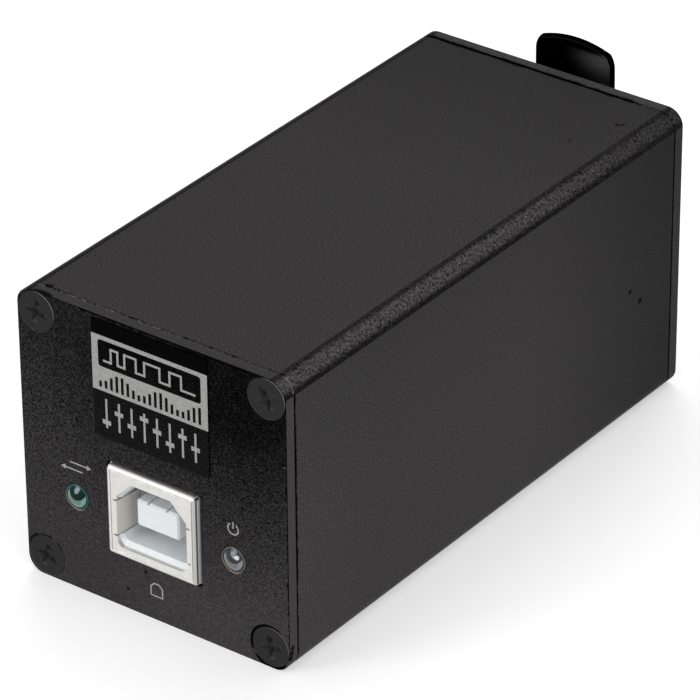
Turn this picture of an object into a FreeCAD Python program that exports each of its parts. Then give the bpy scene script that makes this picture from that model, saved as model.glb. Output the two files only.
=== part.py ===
# USB to DMX interface in an extruded aluminium case, in millimetres.
# X runs to the right as the front is seen, Y from the front to the rear, and Z up.
# The origin is the middle of the case's underside.
import FreeCAD, Part
import math
import os

os.makedirs("parts", exist_ok=True)

Vector = FreeCAD.Vector
along_x = Vector(1, 0, 0)
along_y = Vector(0, 1, 0)
along_z = Vector(0, 0, 1)

# Clearances
overrun = 1.0                # how far a cut runs past the face that it opens
seat_gap = 0.05              # between pieces that are fitted into each other
pin_gap = 0.05               # round a pin or a screw in its hole
lead_gap = 0.1               # round a lead in the circuit board
run_gap = 0.3                # beside anything that moves
probe = 0.001                # how closely an edge is matched to a plane

# Case: a square tube closed by two flat panels
case_width = 35.0
case_length = 72.4           # over both panels
corner_radius = 2.0
tube_wall = 1.5
inner_radius = 0.5
panel_thickness = 1.5
seam_chamfer = 0.2

# Corner screws: countersunk, cross recess, in channels of the tube
screw_inset = 2.5            # from the two nearest faces of the case to the axis
screw_length = 8.0
screw_radius = 1.2
screw_head_radius = 2.35
screw_sink = 0.05            # the head lies this far below the panel's face
channel_wall = 0.95
channel_slot = 1.4
recess_radius = 1.4
recess_foot_radius = 0.5
recess_width = 0.7
recess_depth = 0.65
front_screw_turns = (12, -27, 17, -8)
rear_screw_turns = (-20, 35, 5, -40)

# Circuit board, held in slots of the tube's side walls
under_board_gap = 3.5        # between the tube's inner floor and the board
board_thickness = 1.6
board_side_gap = 0.25
board_end_gap = 0.3
rib_reach = 1.2
rib_thickness = 1.0
lead_stick_out = 1.2         # how far leads stand out below the board
hole_sides = 8               # of the board's small holes, which stand for round ones

# USB type B socket: sheet shell, moulded insulator, four contacts
usb_width = 12.0
usb_height = 10.9
usb_depth = 16.2
usb_sheet = 0.4
usb_proud = 0.55
usb_bend = 0.45
usb_notch_radius = 0.35
usb_cutout_gap = 0.2
usb_cutout_radius = 0.5
mouth_width = 9.3
mouth_height = 8.2
mouth_lift = 1.25            # above the underside of the shell
mouth_chamfer = 2.05
mouth_radius = 0.9
lining = 0.2                 # how far the insulator shows inside the mouth
lip_height = 0.35            # of the cavity's floor above the lining
lip_chamfer = 0.4
fold_inset = 0.55            # from the side of the shell to its fold line
fold_width = 0.12
fold_depth = 0.08
cavity_depth = 11.0
flap_lift = 1.4              # above the bottom edge of the mouth
flap_height = 4.1
flap_depth = 3.5
flap_lean = 0.35
flap_relief = 0.2
usb_leg_width = 2.4
usb_leg_setback = 11.5       # from the front of the shell to the leg's middle
tongue_width = 5.6
tongue_height = 3.2
tongue_lift = 5.6            # axis of the tongue above the underside of the shell
tongue_setback = 1.05        # from the front of the shell to the end of the tongue
tongue_radius = 0.3
tongue_chamfer = 0.2
contact_width = 0.8
contact_thickness = 0.3
contact_pitch = 2.5
contact_setback = 1.8        # from the end of the tongue
contact_groove = 0.3         # width of the groove that leads to each contact
contact_sink = 0.2           # how deep a contact lies in the face of the tongue
tail_row_pitch = 2.0
tail_row_setback = 1.3       # from the rear of the insulator to the last row

# Two indicator lamps on bent leads
led_radius = 1.5
led_length = 5.3
led_proud = 0.5              # height of the lamp's crown, which begins at the panel's face
led_flange_radius = 1.9
led_flange_thickness = 1.0
led_lift = 4.9               # axis of the lamp above the board
led_hole_gap = 0.05
led_hole_chamfer = 0.1
led_lead_width = 0.5
led_lead_pitch = 2.54
led_lead_reach = 2.0
led_lead_bend = 0.8

# Sticker on the front panel
label_width = 15.1
label_height = 14.1
label_top_gap = 0.5
label_radius = 0.2
label_thickness = 0.12

# Parts on the board
chip_stand_off = 0.1
leg_thickness = 0.18
dimple_radius = 0.4
dimple_depth = 0.1
bridge_size = (7.2, 5.3, 1.75)
bridge_legs = 10             # on each of two sides
bridge_pitch = 0.65
bridge_leg_reach = 1.25
bridge_leg_width = 0.3
controller_size = (7.0, 7.0, 1.2)
controller_legs = 8          # on each of four sides
controller_pitch = 0.8
controller_leg_reach = 1.0
controller_leg_width = 0.35
driver_size = (4.9, 3.9, 1.5)
driver_legs = 4              # on each of two sides
driver_pitch = 1.27
driver_leg_reach = 1.05
driver_leg_width = 0.42
crystal_size = (11.3, 4.7, 3.5)
crystal_flange = 0.35
crystal_flange_height = 0.5
can_radius = 3.15
can_height = 5.4
can_base_width = 6.6
can_base_height = 1.0
can_groove_depth = 0.25
can_groove_height = 0.6
can_groove_lift = 1.2
fuse_size = (4.5, 3.2, 1.1)
resistor_size = (2.0, 1.25, 0.5)
resistor_count = 7
ceramic_size = (2.0, 1.25, 1.1)
ceramic_count = 6

# Gull-wing leg: shares of its reach where the shoulder ends and the foot begins
shoulder_share = 0.35
heel_share = 0.5

# XLR socket: moulded body, contact carrier, three sleeves
xlr_lift = 12.9              # axis of the socket above the board
bore_radius = 9.65
collar_wall = 1.45
collar_proud = 2.0
collar_chamfer = 0.3
barrel_wall = 2.3
floor_wall = 0.6             # between the bore and the channel of the latch
pedestal_width = 22.0
flange_width = 25.2
flange_thickness = 2.0
flange_radius = 1.5
flange_top_share = 0.85      # share of the height from the axis to the spine's top
insert_radius = 7.85
insert_recess = 0.8
insert_key_width = 2.2
insert_key_depth = 1.0
sleeve_circle = 4.6          # from the axis of the socket to each sleeve's axis
sleeve_radius = 1.6
sleeve_bore_radius = 1.25
sleeve_bore_depth = 9.0
sleeve_recess = 0.8
sleeve_angles = (60, 180, 300)
tail_width = 1.0
tail_thickness = 0.6
tail_bend = 1.0
tail_gap = 2.0               # from the rear of the body to the tails
xlr_screw_inset = 2.5
xlr_screw_radius = 1.1
xlr_screw_length = 8.0
xlr_screw_head_radius = 2.1
xlr_screw_head_height = 1.3
xlr_screw_chamfer = 0.5
xlr_boss_radius = 2.3
collar_hole_gap = 0.2

# Latch of the XLR socket: a rocking lever, its pin and its spring
latch_travel = 12            # degrees
spine_gap = 0.7              # between the tube's inner top and the body
spine_cover = 0.25           # of the body above the lever's hub
spine_wall = 2.2
spine_reach = 3.0            # from the pin towards the front
pivot_setback = 3.0          # from the inner face of the rear panel to the pin
latch_pin_radius = 0.6
hub_radius = 1.25
lever_width = 9.8
arm_thickness = 1.2
catch_width = 4.0
catch_length = 2.0
catch_dip = 0.9              # into the bore
catch_ramp = 0.8
catch_setback = 0.2          # from the front of the collar
catch_slot_gap = 0.3
arm_side_gap = 0.7
notch_radius = 0.8
tab_width = 10.4
tab_thickness = 1.0
tab_stand_off = 4.1          # from the rear panel's face to the tab
tab_rise = 1.9               # above the top of the case
tab_drop = 0.3               # below the arm
tab_corner_radius = 2.5
tab_crown_radius = 13.0
tab_dish_radius = 9.0
tab_dish_depth = 0.25
tab_edge_radius = 0.3
tail_reach = 10.5            # from the pin towards the front
spring_reach = 9.2
spring_radius = 1.5
spring_wire_radius = 0.175
spring_length = 5.9
spring_turns = 4
spring_sides = 4             # of the wire's section, which stands for a round one
pocket_gap = 0.2
pocket_wall = 1.6

# Worked out: the stack of heights, from the tube's floor up to its top
board_lift = tube_wall + under_board_gap
board_top = board_lift + board_thickness
xlr_z = board_top + xlr_lift
bore_top = xlr_z + bore_radius
channel_floor = bore_top + floor_wall
pivot_z = channel_floor + run_gap + hub_radius
spine_top = pivot_z + hub_radius + spine_cover
inner_top = spine_top + spine_gap
case_height = inner_top + tube_wall

# Worked out: the case
half_width = case_width / 2
front_face = -case_length / 2
rear_face = case_length / 2
tube_front = front_face + panel_thickness
tube_rear = rear_face - panel_thickness
inner_half_width = half_width - tube_wall
rib_edge = inner_half_width - rib_reach
screw_side = half_width - screw_inset
screw_neck = screw_head_radius - screw_radius
screw_places = [(x, z) for z in (case_height - screw_inset, screw_inset)
                for x in (-screw_side, screw_side)]
board_half_width = inner_half_width - board_side_gap
lead_end = board_lift - lead_stick_out

# Worked out: the USB socket
usb_front = front_face - usb_proud
usb_back = usb_front + usb_depth
usb_half_width = usb_width / 2
usb_base = board_top
usb_top = usb_base + usb_height
usb_leg_y = usb_front + usb_leg_setback
insulator_half_width = usb_half_width - usb_sheet - seat_gap
insulator_front = usb_front + usb_sheet + seat_gap
insulator_back = usb_back - usb_sheet - seat_gap
insulator_base = usb_base + usb_sheet + seat_gap
insulator_top = usb_top - usb_sheet - seat_gap
cavity_end = usb_front + cavity_depth
mouth_base = usb_base + mouth_lift
tongue_front = usb_front + tongue_setback
tongue_z = usb_base + tongue_lift
contact_front = tongue_front + contact_setback
tail_row_places = (insulator_back - tail_row_setback,
                   insulator_back - tail_row_setback - tail_row_pitch)

# Worked out: the lamps, midway between the USB socket and the board ribs
led_x = (usb_half_width + rib_edge) / 2
led_z = board_top + led_lift
led_tip = front_face - led_proud
led_rear = led_tip + led_length
led_drop = led_rear + led_lead_reach

# Worked out: the XLR socket and its latch
latch_sine = math.sin(math.radians(latch_travel))
latch_cosine = math.cos(math.radians(latch_travel))
pivot_y = tube_rear - pivot_setback
collar_radius = bore_radius + collar_wall
barrel_radius = bore_radius + barrel_wall
collar_rear = rear_face + collar_proud
arm_base = xlr_z + collar_radius + run_gap
arm_top = arm_base + arm_thickness
tail_end = pivot_y - tail_reach
spring_y = pivot_y - spring_reach
spring_foot = pivot_z - spring_length
pocket_radius = spring_radius + pocket_gap
body_front = spring_y - pocket_radius - pocket_wall
bore_end = spring_y + pocket_radius + pocket_wall
body_rear = tube_rear - seat_gap
deep_floor = pivot_z - tail_reach * latch_sine - run_gap
channel_half_width = lever_width / 2 + run_gap
spine_half_width = channel_half_width + spine_wall
flange_half_width = flange_width / 2
flange_top = xlr_z + (spine_top - xlr_z) * flange_top_share
xlr_screw_side = flange_half_width - xlr_screw_inset
xlr_screw_z = board_top + xlr_screw_inset
tab_front = rear_face + tab_stand_off
tab_rear = tab_front + tab_thickness
tab_top = case_height + tab_rise
tab_base = arm_base - tab_drop
notch_top = (pivot_z + (rear_face - pivot_y) * latch_sine
             + (arm_top - pivot_z) * latch_cosine + run_gap)
tail_y = body_front - tail_gap

# Worked out: the bay between the two sockets, filled by four columns of parts
bay_front = usb_back
bay_length = tail_y - bay_front
bridge_depth = bridge_size[1] + 2 * bridge_leg_reach
controller_depth = controller_size[1] + 2 * controller_leg_reach
driver_depth = driver_size[1] + 2 * driver_leg_reach
column_widths = (resistor_size[0], crystal_size[0], ceramic_size[0], can_base_width)


def spread(start, length, sizes):
    """The middles of pieces that stand in a row with equal gaps."""
    gap = (length - sum(sizes)) / (len(sizes) + 1)
    middles = []
    for size in sizes:
        middles.append(start + gap + size / 2)
        start += gap + size
    return middles


resistor_x, chip_x, ceramic_x, driver_x = spread(-rib_edge, 2 * rib_edge, column_widths)
bridge_y, crystal_y, controller_y = spread(
    bay_front, bay_length, (bridge_depth, crystal_size[1], controller_depth))
fuse_y, can_y, driver_y = spread(bay_front, bay_length, (fuse_size[1], can_base_width, driver_depth))
resistor_places = [(resistor_x, y) for y in
                   spread(bay_front, bay_length, [resistor_size[1]] * resistor_count)]
ceramic_places = [(ceramic_x, y) for y in
                  spread(bay_front, bay_length, [ceramic_size[1]] * ceramic_count)]
bridge_place = (chip_x, bridge_y)
crystal_place = (chip_x, crystal_y)
controller_place = (chip_x, controller_y)
fuse_place = (driver_x, fuse_y)
can_place = (driver_x, can_y)
driver_place = (driver_x, driver_y)


def block(x, y, z):
    """A block between two places on each axis."""
    return Part.makeBox(x[1] - x[0], y[1] - y[0], z[1] - z[0], Vector(x[0], y[0], z[0]))


def wide_block(half, y, z):
    """A block that reaches equally far to the left and the right."""
    return block((-half, half), y, z)


def rod_x(radius, half, y, z):
    """A round rod along X, equally far to the left and the right."""
    return Part.makeCylinder(radius, 2 * half, Vector(-half, y, z), along_x)


def rod_y(radius, y, x, z):
    """A round rod along Y, between two Y places."""
    return Part.makeCylinder(radius, y[1] - y[0], Vector(x, y[0], z), along_y)


def rod_z(radius, z, x, y):
    """A round rod along Z, between two Z places."""
    return Part.makeCylinder(radius, z[1] - z[0], Vector(x, y, z[0]), along_z)


def slab_y(outline, y):
    """An outline of X and Z places, made solid between two Y places."""
    points = [Vector(x, y[0], z) for x, z in outline]
    return Part.Face(Part.makePolygon(points + points[:1])).extrude(along_y * (y[1] - y[0]))


def slab_x(outline, half):
    """An outline of Y and Z places, made solid equally far to the left and the right."""
    points = [Vector(-half, y, z) for y, z in outline]
    return Part.Face(Part.makePolygon(points + points[:1])).extrude(along_x * (2 * half))


def slab_z(outline, z):
    """An outline of X and Y places, made solid between two Z places."""
    points = [Vector(x, y, z[0]) for x, y in outline]
    return Part.Face(Part.makePolygon(points + points[:1])).extrude(along_z * (z[1] - z[0]))


def edges_along(shape, axis):
    """The straight edges of a shape that run along an axis."""
    found = []
    for edge in shape.Edges:
        run = edge.Vertexes[-1].Point - edge.Vertexes[0].Point
        if run.cross(axis).Length < probe and run.Length > probe:
            found.append(edge)
    return found


def edges_at(shape, y):
    """The edges of a shape that lie in the plane at a Y place."""
    return [edge for edge in shape.Edges
            if abs(edge.BoundBox.YMin - y) < probe and abs(edge.BoundBox.YMax - y) < probe]


def rounded_block(x, y, z, radius, axis):
    """A block with the four edges along one axis rounded."""
    shape = block(x, y, z)
    return shape.makeFillet(radius, edges_along(shape, axis))


def mirrored(shape):
    """The same shape on the other side of the middle plane."""
    return shape.mirror(Vector(), along_x)


def both_sides(shape):
    """A shape and its mirror image."""
    return [shape, mirrored(shape)]


def group(shapes):
    """Separate solids in one node."""
    return Part.makeCompound(list(shapes))


def set_in_front(shape, x, z):
    """Puts a shape made from the origin inwards at the front panel's face."""
    return shape.translated(Vector(x, front_face, z))


def set_in_rear(shape, x, z):
    """Puts a shape made from the origin inwards at the rear panel's face."""
    turned = shape.rotated(Vector(), along_z, 180)
    return turned.translated(Vector(x, rear_face, z))


def bent_lead(width, thickness, x, y, z, bend):
    """A flat lead that runs along Y and bends down: y and z hold its start and its end."""
    half = thickness / 2
    side = math.copysign(half, y[1] - y[0])
    across = (x - width / 2, x + width / 2)
    run = block(across, sorted((y[0], y[1] + side)), (z[0] - half, z[0] + half))
    drop = block(across, (y[1] - half, y[1] + half), (z[1], z[0] + half))
    lead = run.fuse(drop).removeSplitter()
    for reach, rise, radius in ((side, half, bend + half), (-side, -half, bend - half)):
        corner = Vector(across[0], y[1] + reach, z[0] + rise)
        lead = lead.makeFillet(radius, [edge for edge in edges_along(lead, along_x)
                                        if edge.distToShape(Part.Vertex(corner))[0] < probe])
    return lead


# Case

def case_bar(y, seams):
    """The case's outline as a solid bar, with its edges broken at the seams."""
    bar = rounded_block((-half_width, half_width), y, (0, case_height), corner_radius, along_y)
    return bar.makeChamfer(seam_chamfer, [edge for seam in seams for edge in edges_at(bar, seam)])


def screw_channel(x, z):
    """One corner channel: the wall round the screw, and what is cut out of it."""
    through = (tube_front - overrun, tube_rear + overrun)
    hole = screw_radius + pin_gap
    wall = rod_y(hole + channel_wall, (tube_front, tube_rear), x, z)
    slot = block((0, case_width / 4), through, (-channel_slot / 2, channel_slot / 2))
    towards_middle = math.degrees(math.atan2(math.copysign(1, z - case_height / 2),
                                             -math.copysign(1, x)))
    slot = slot.rotated(Vector(), along_y, towards_middle).translated(Vector(x, 0, z))
    reach = rod_y(hole + channel_wall + seat_gap, through, x, z)
    opening = rod_y(hole, through, x, z).fuse(slot.common(reach))
    return wall, opening


def board_ribs():
    """The four ribs that hold the board's long edges, two on each side wall."""
    outer = half_width - tube_wall / 2
    below = board_lift - seat_gap
    above = board_top + seat_gap
    ribs = []
    for z in ((below - rib_thickness, below), (above, above + rib_thickness)):
        ribs += both_sides(block((rib_edge, outer), (tube_front, tube_rear), z))
    return ribs


def housing_tube():
    """The extruded tube with its screw channels and board slots."""
    bar = case_bar((tube_front, tube_rear), (tube_front, tube_rear))
    inside = rounded_block((-inner_half_width, inner_half_width),
                           (tube_front - overrun, tube_rear + overrun),
                           (tube_wall, inner_top), inner_radius, along_y)
    channels = [screw_channel(x, z) for x, z in screw_places]
    tube = bar.cut(inside).fuse([wall for wall, opening in channels] + board_ribs())
    return tube.cut([opening for wall, opening in channels]).removeSplitter()


# Corner screws

def cross_recess(turn):
    """Two crossed wedges, sunk from zero along Y and turned about it."""
    outline = [(-recess_radius, -overrun), (recess_radius, -overrun), (recess_radius, 0),
               (recess_foot_radius, recess_depth), (-recess_foot_radius, recess_depth),
               (-recess_radius, 0)]
    wedge = slab_z(outline, (-recess_width / 2, recess_width / 2))
    return [wedge.rotated(Vector(), along_y, turn + quarter) for quarter in (0, 90)]


def countersunk_screw(turn):
    """A screw that points along Y, its head sunk a little below zero."""
    head = Part.makeCone(screw_head_radius, screw_radius, screw_neck, Vector(), along_y)
    shank = rod_y(screw_radius, (screw_neck, screw_length), 0, 0)
    return head.fuse(shank).cut(cross_recess(turn)).translated(along_y * screw_sink)


def countersunk_hole():
    """The hole for such a screw, from the panel's face inwards."""
    wide = screw_head_radius + pin_gap + screw_sink
    narrow = screw_radius + pin_gap
    cone = Part.makeCone(wide, narrow, wide - narrow, Vector(), along_y)
    return cone.fuse(rod_y(narrow, (0, panel_thickness + overrun), 0, 0))


def corner_screws(set_in, turns):
    """The four screws of one panel."""
    return group(set_in(countersunk_screw(turn), x, z)
                 for (x, z), turn in zip(screw_places, turns))


# Panels

def usb_cutout():
    """The square hole round the USB socket."""
    side = usb_half_width + usb_cutout_gap
    return rounded_block((-side, side), (front_face - overrun, tube_front + overrun),
                         (usb_base - usb_cutout_gap, usb_top + usb_cutout_gap),
                         usb_cutout_radius, along_y)


def lamp_hole():
    """The right lamp's hole, with its outer edge broken."""
    radius = led_radius + led_hole_gap
    hole = rod_y(radius, (front_face - overrun, tube_front + overrun), led_x, led_z)
    edge = Part.makeCone(radius + led_hole_chamfer, radius, led_hole_chamfer,
                         Vector(led_x, front_face, led_z), along_y)
    return hole.fuse(edge)


def front_panel():
    """The front panel, with holes for the socket, the lamps and the corner screws."""
    panel = case_bar((front_face, tube_front), (tube_front,))
    holes = [usb_cutout()] + both_sides(lamp_hole())
    holes += [set_in_front(countersunk_hole(), x, z) for x, z in screw_places]
    return panel.cut(holes)


def latch_notch():
    """The slot above the collar that lets the latch lever through."""
    side = lever_width / 2 + arm_side_gap
    return rounded_block((-side, side), (tube_rear - overrun, rear_face + overrun),
                         (xlr_z, notch_top), notch_radius, along_y)


def rear_panel():
    """The rear panel, with holes for the XLR socket, its latch and all screws."""
    panel = case_bar((tube_rear, rear_face), (tube_rear,))
    through = (tube_rear - overrun, rear_face + overrun)
    holes = [rod_y(collar_radius + collar_hole_gap, through, 0, xlr_z), latch_notch()]
    holes += both_sides(rod_y(xlr_screw_radius + lead_gap, through, xlr_screw_side, xlr_screw_z))
    holes += [set_in_rear(countersunk_hole(), x, z) for x, z in screw_places]
    return panel.cut(holes)


def front_label():
    """The sticker on the front panel."""
    top = case_height - label_top_gap
    return rounded_block((-label_width / 2, label_width / 2),
                         (front_face - label_thickness, front_face),
                         (top - label_height, top), label_radius, along_y)


# USB socket

def mouth(inset, y, lip=0):
    """The socket's opening, drawn in by an inset: cut corners above, round ones below."""
    side = mouth_width / 2 - inset
    base = mouth_base + inset + lip
    top = mouth_base + mouth_height - inset
    shape = slab_y([(-side, base), (side, base), (side, top - mouth_chamfer),
                    (side - mouth_chamfer, top), (mouth_chamfer - side, top),
                    (-side, top - mouth_chamfer)], y)
    lower = [edge for edge in edges_along(shape, along_y)
             if edge.BoundBox.ZMax < base + mouth_radius]
    return shape.makeFillet(mouth_radius, lower)


def mouth_flap():
    """The right sprung flap, bent back from the edge of the mouth."""
    root = mouth_width / 2
    base = mouth_base + flap_lift
    outline = [(root, usb_front), (root + usb_sheet, usb_front + usb_sheet),
               (root + usb_sheet - flap_lean, usb_front + flap_depth),
               (root - flap_lean, usb_front + flap_depth)]
    return slab_z(outline, (base, base + flap_height))


def flap_reliefs():
    """The two small slots that part the right flap from the sheet."""
    root = mouth_width / 2
    base = mouth_base + flap_lift
    return [block((root - flap_relief, root + usb_sheet + seat_gap),
                  (usb_front - overrun, usb_front + usb_sheet), z)
            for z in ((base - flap_relief, base),
                      (base + flap_height, base + flap_height + flap_relief))]


def flap_pocket():
    """The room that the insulator leaves behind the right flap."""
    base = mouth_base + flap_lift
    return block((mouth_width / 2 - flap_lean, mouth_width / 2 + usb_sheet + seat_gap),
                 (usb_front, usb_front + flap_depth + run_gap),
                 (base - flap_relief, base + flap_height + flap_relief))


def fold_line():
    """The fine line along which the front of the shell is folded over its sides."""
    side = usb_half_width - fold_inset
    base = usb_base + fold_inset
    top = usb_top - fold_inset
    depth = (usb_front - overrun, usb_front + fold_depth)
    return wide_block(side, depth, (base, top)).cut(
        wide_block(side - fold_width, depth, (base + fold_width, top - fold_width)))


def usb_leg(gap):
    """The right leg of the shell, from inside its wall down through the board."""
    half = usb_leg_width / 2 + gap
    return block((usb_half_width - usb_sheet - gap, usb_half_width + gap),
                 (usb_leg_y - half, usb_leg_y + half),
                 (lead_end - gap, usb_base + usb_sheet))


def usb_shell():
    """The folded sheet box, open below at the rear where the contacts' tails leave."""
    shell = block((-usb_half_width, usb_half_width), (usb_front, usb_back), (usb_base, usb_top))
    bends = edges_along(shell, along_y) + edges_at(shell, usb_front)
    shell = shell.makeFillet(usb_bend, bends)
    inner_side = usb_half_width - usb_sheet
    inside = wide_block(inner_side, (usb_front + usb_sheet, usb_back - usb_sheet),
                        (usb_base + usb_sheet, usb_top - usb_sheet))
    tail_gap_front = tail_row_places[1] - tail_row_pitch / 2
    tail_opening = wide_block(inner_side - usb_sheet, (tail_gap_front, usb_back + overrun),
                              (usb_base - overrun, usb_base + usb_sheet + overrun))
    notches = [rod_y(usb_notch_radius, (usb_front - overrun, usb_front + 2 * usb_sheet), x, z)
               for x in (-usb_half_width, usb_half_width) for z in (usb_base, usb_top)]
    reliefs = [both for relief in flap_reliefs() for both in both_sides(relief)]
    shell = shell.cut([inside, tail_opening, mouth(0, (usb_front - overrun, usb_front + overrun))])
    shell = shell.cut(notches + reliefs + [fold_line()])
    return shell.fuse(both_sides(mouth_flap()) + both_sides(usb_leg(0))).removeSplitter()


def usb_contact(x, face, row, gap):
    """One contact: along a face of the tongue, then down through the board at its row."""
    half = contact_width / 2 + gap
    outward = math.copysign(1, face - tongue_z)
    outer = face + outward * (contact_thickness - contact_sink)
    inner = outer - outward * contact_thickness
    low, high = sorted((outer, inner))
    strip = block((x - half, x + half), (contact_front - gap, row + contact_thickness / 2 + gap),
                  (low - gap, high + gap))
    tail = block((x - half, x + half),
                 (row - contact_thickness / 2 - gap, row + contact_thickness / 2 + gap),
                 (lead_end, high + gap))
    return strip.fuse(tail).removeSplitter()


def usb_contact_set(gap):
    """Two contacts above the tongue and two below it."""
    faces = (tongue_z + tongue_height / 2, tongue_z - tongue_height / 2)
    return [usb_contact(x, face, row, gap) for face, row in zip(faces, tail_row_places)
            for x in (-contact_pitch / 2, contact_pitch / 2)]


def contact_grooves():
    """The right grooves, above and below, from the end of the tongue to its contacts."""
    x = contact_pitch / 2
    face = tongue_height / 2
    return [block((x - contact_groove / 2, x + contact_groove / 2),
                  (tongue_front - overrun, contact_front),
                  sorted((tongue_z + side * (face - contact_sink),
                          tongue_z + side * (face + overrun))))
            for side in (-1, 1)]


def usb_tongue():
    """The tongue, rounded along its length and bevelled at its end."""
    tongue = rounded_block((-tongue_width / 2, tongue_width / 2),
                           (tongue_front, cavity_end + overrun),
                           (tongue_z - tongue_height / 2, tongue_z + tongue_height / 2),
                           tongue_radius, along_y)
    tongue = tongue.makeChamfer(tongue_chamfer, edges_at(tongue, tongue_front))
    return tongue.cut([both for groove in contact_grooves() for both in both_sides(groove)])


def usb_insulator():
    """The white block: a cavity shaped like the mouth, with the tongue standing in it."""
    body = wide_block(insulator_half_width, (insulator_front, insulator_back),
                      (insulator_base, insulator_top))
    body = body.cut(mouth(lining, (insulator_front - overrun, cavity_end), lip_height))
    rim = [edge for edge in edges_at(body, insulator_front)
           if abs(edge.CenterOfMass.x) < mouth_width / 2
           and mouth_base < edge.CenterOfMass.z < mouth_base + mouth_height]
    body = body.makeChamfer(lip_chamfer, rim)
    body = body.cut(both_sides(flap_pocket()))
    return body.fuse(usb_tongue()).cut(usb_contact_set(seat_gap)).removeSplitter()


# Indicator lamps

def led_lens(x):
    """A lamp turned about its axis: a shallow crown, the body and a flange at its rear."""
    ball = (led_radius ** 2 + led_proud ** 2) / (2 * led_proud)
    half_turn = math.asin(led_radius / ball) / 2
    tip = Vector(0, led_tip, 0)
    bulge = Vector(ball * math.sin(half_turn), led_tip + ball * (1 - math.cos(half_turn)), 0)
    step = led_rear - led_flange_thickness
    corners = [Vector(across, along, 0)
               for across, along in ((led_radius, front_face), (led_radius, step),
                                     (led_flange_radius, step), (led_flange_radius, led_rear),
                                     (0, led_rear), (0, led_tip))]
    edges = [Part.Arc(tip, bulge, corners[0]).toShape()]
    edges += [Part.makeLine(start, end) for start, end in zip(corners, corners[1:])]
    profile = Part.Face(Part.Wire(edges))
    return profile.revolve(Vector(), along_y, 360).translated(Vector(x, 0, led_z))


def led_leads(x):
    """The two leads of one lamp, bent down into the board."""
    return group(bent_lead(led_lead_width, led_lead_width, x + side,
                           (led_rear, led_drop), (led_z, lead_end), led_lead_bend)
                 for side in (-led_lead_pitch / 2, led_lead_pitch / 2))


# Circuit board and the parts on it

def lead_hole(radius, x, y):
    """A small hole through the board, with flat sides round its radius."""
    corner = radius / math.cos(math.pi / hole_sides)
    turns = [2 * math.pi * side / hole_sides for side in range(hole_sides)]
    return slab_z([(x + corner * math.cos(turn), y + corner * math.sin(turn)) for turn in turns],
                  (board_lift - overrun, board_top + overrun))


def board_holes():
    """The holes for the leads, the contacts' tails and the shell's legs."""
    contact_hole = math.hypot(contact_width, contact_thickness) / 2 + lead_gap
    holes = [lead_hole(contact_hole, x, row)
             for row in tail_row_places for x in (-contact_pitch / 2, contact_pitch / 2)]
    lamp_lead_hole = math.hypot(led_lead_width, led_lead_width) / 2 + lead_gap
    holes += [lead_hole(lamp_lead_hole, lamp + side, led_drop)
              for lamp in (-led_x, led_x)
              for side in (-led_lead_pitch / 2, led_lead_pitch / 2)]
    tail_hole = math.hypot(tail_width, tail_thickness) / 2 + lead_gap
    holes += [lead_hole(tail_hole, x, tail_y) for x, z in sleeve_places()]
    holes += both_sides(usb_leg(lead_gap))
    return holes


def circuit_board():
    """The board, from just behind the front panel to just before the rear one."""
    board = wide_block(board_half_width, (tube_front + board_end_gap, tube_rear - board_end_gap),
                       (board_lift, board_top))
    return board.cut(board_holes())


def chip_body(size, place):
    """A moulded chip with a dimple beside its first leg."""
    x, y = place
    length, width, height = size
    base = board_top + chip_stand_off
    body = block((x - length / 2, x + length / 2), (y - width / 2, y + width / 2),
                 (base, base + height))
    inset = 2 * dimple_radius
    dimple = rod_z(dimple_radius, (base + height - dimple_depth, base + height + overrun),
                   x - length / 2 + inset, y - width / 2 + inset)
    return body.cut(dimple)


def leg_row(size, place, count, pitch, reach, width, side):
    """A row of gull-wing legs on one side of a chip: 0 rear, 1 left, 2 front, 3 right."""
    x, y = place
    body_edge = (size[1] if side % 2 == 0 else size[0]) / 2
    middle = chip_stand_off + size[2] / 2
    shoulder = reach * shoulder_share
    heel = reach * heel_share
    outline = [(0, middle), (shoulder, middle), (heel, 0), (reach, 0), (reach, leg_thickness),
               (heel + leg_thickness, leg_thickness),
               (shoulder + leg_thickness, middle + leg_thickness), (0, middle + leg_thickness)]
    leg = slab_x([(body_edge + along, board_top + up) for along, up in outline], width / 2)
    row = [leg.translated(along_x * ((number - (count - 1) / 2) * pitch))
           for number in range(count)]
    return [one.rotated(Vector(), along_z, 90 * side).translated(Vector(x, y, 0)) for one in row]


def bridge_leg_set():
    """The legs of the USB bridge chip."""
    return group(leg for side in (0, 2)
                 for leg in leg_row(bridge_size, bridge_place, bridge_legs, bridge_pitch,
                                    bridge_leg_reach, bridge_leg_width, side))


def controller_leg_set():
    """The legs of the microcontroller, on all four sides."""
    return group(leg for side in range(4)
                 for leg in leg_row(controller_size, controller_place, controller_legs,
                                    controller_pitch, controller_leg_reach,
                                    controller_leg_width, side))


def driver_leg_set():
    """The legs of the line driver chip."""
    return group(leg for side in (0, 2)
                 for leg in leg_row(driver_size, driver_place, driver_legs, driver_pitch,
                                    driver_leg_reach, driver_leg_width, side))


def board_block(size, place):
    """A plain block that stands on the board."""
    x, y = place
    length, width, height = size
    return block((x - length / 2, x + length / 2), (y - width / 2, y + width / 2),
                 (board_top, board_top + height))


def crystal_can():
    """A metal can with round ends on a wider foot."""
    x, y = crystal_place
    length, width, height = crystal_size
    shapes = []
    for inset, top in ((0, crystal_flange_height), (crystal_flange, height)):
        long_half = length / 2 - inset
        wide_half = width / 2 - inset
        end = long_half - wide_half
        z = (board_top, board_top + top)
        shapes.append(block((x - end, x + end), (y - wide_half, y + wide_half), z))
        shapes += [rod_z(wide_half, z, x + side, y) for side in (-end, end)]
    return shapes[0].fuse(shapes[1:]).removeSplitter()


def capacitor_base():
    """The square plastic foot of the electrolytic capacitor."""
    return board_block((can_base_width, can_base_width, can_base_height), can_place)


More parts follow.
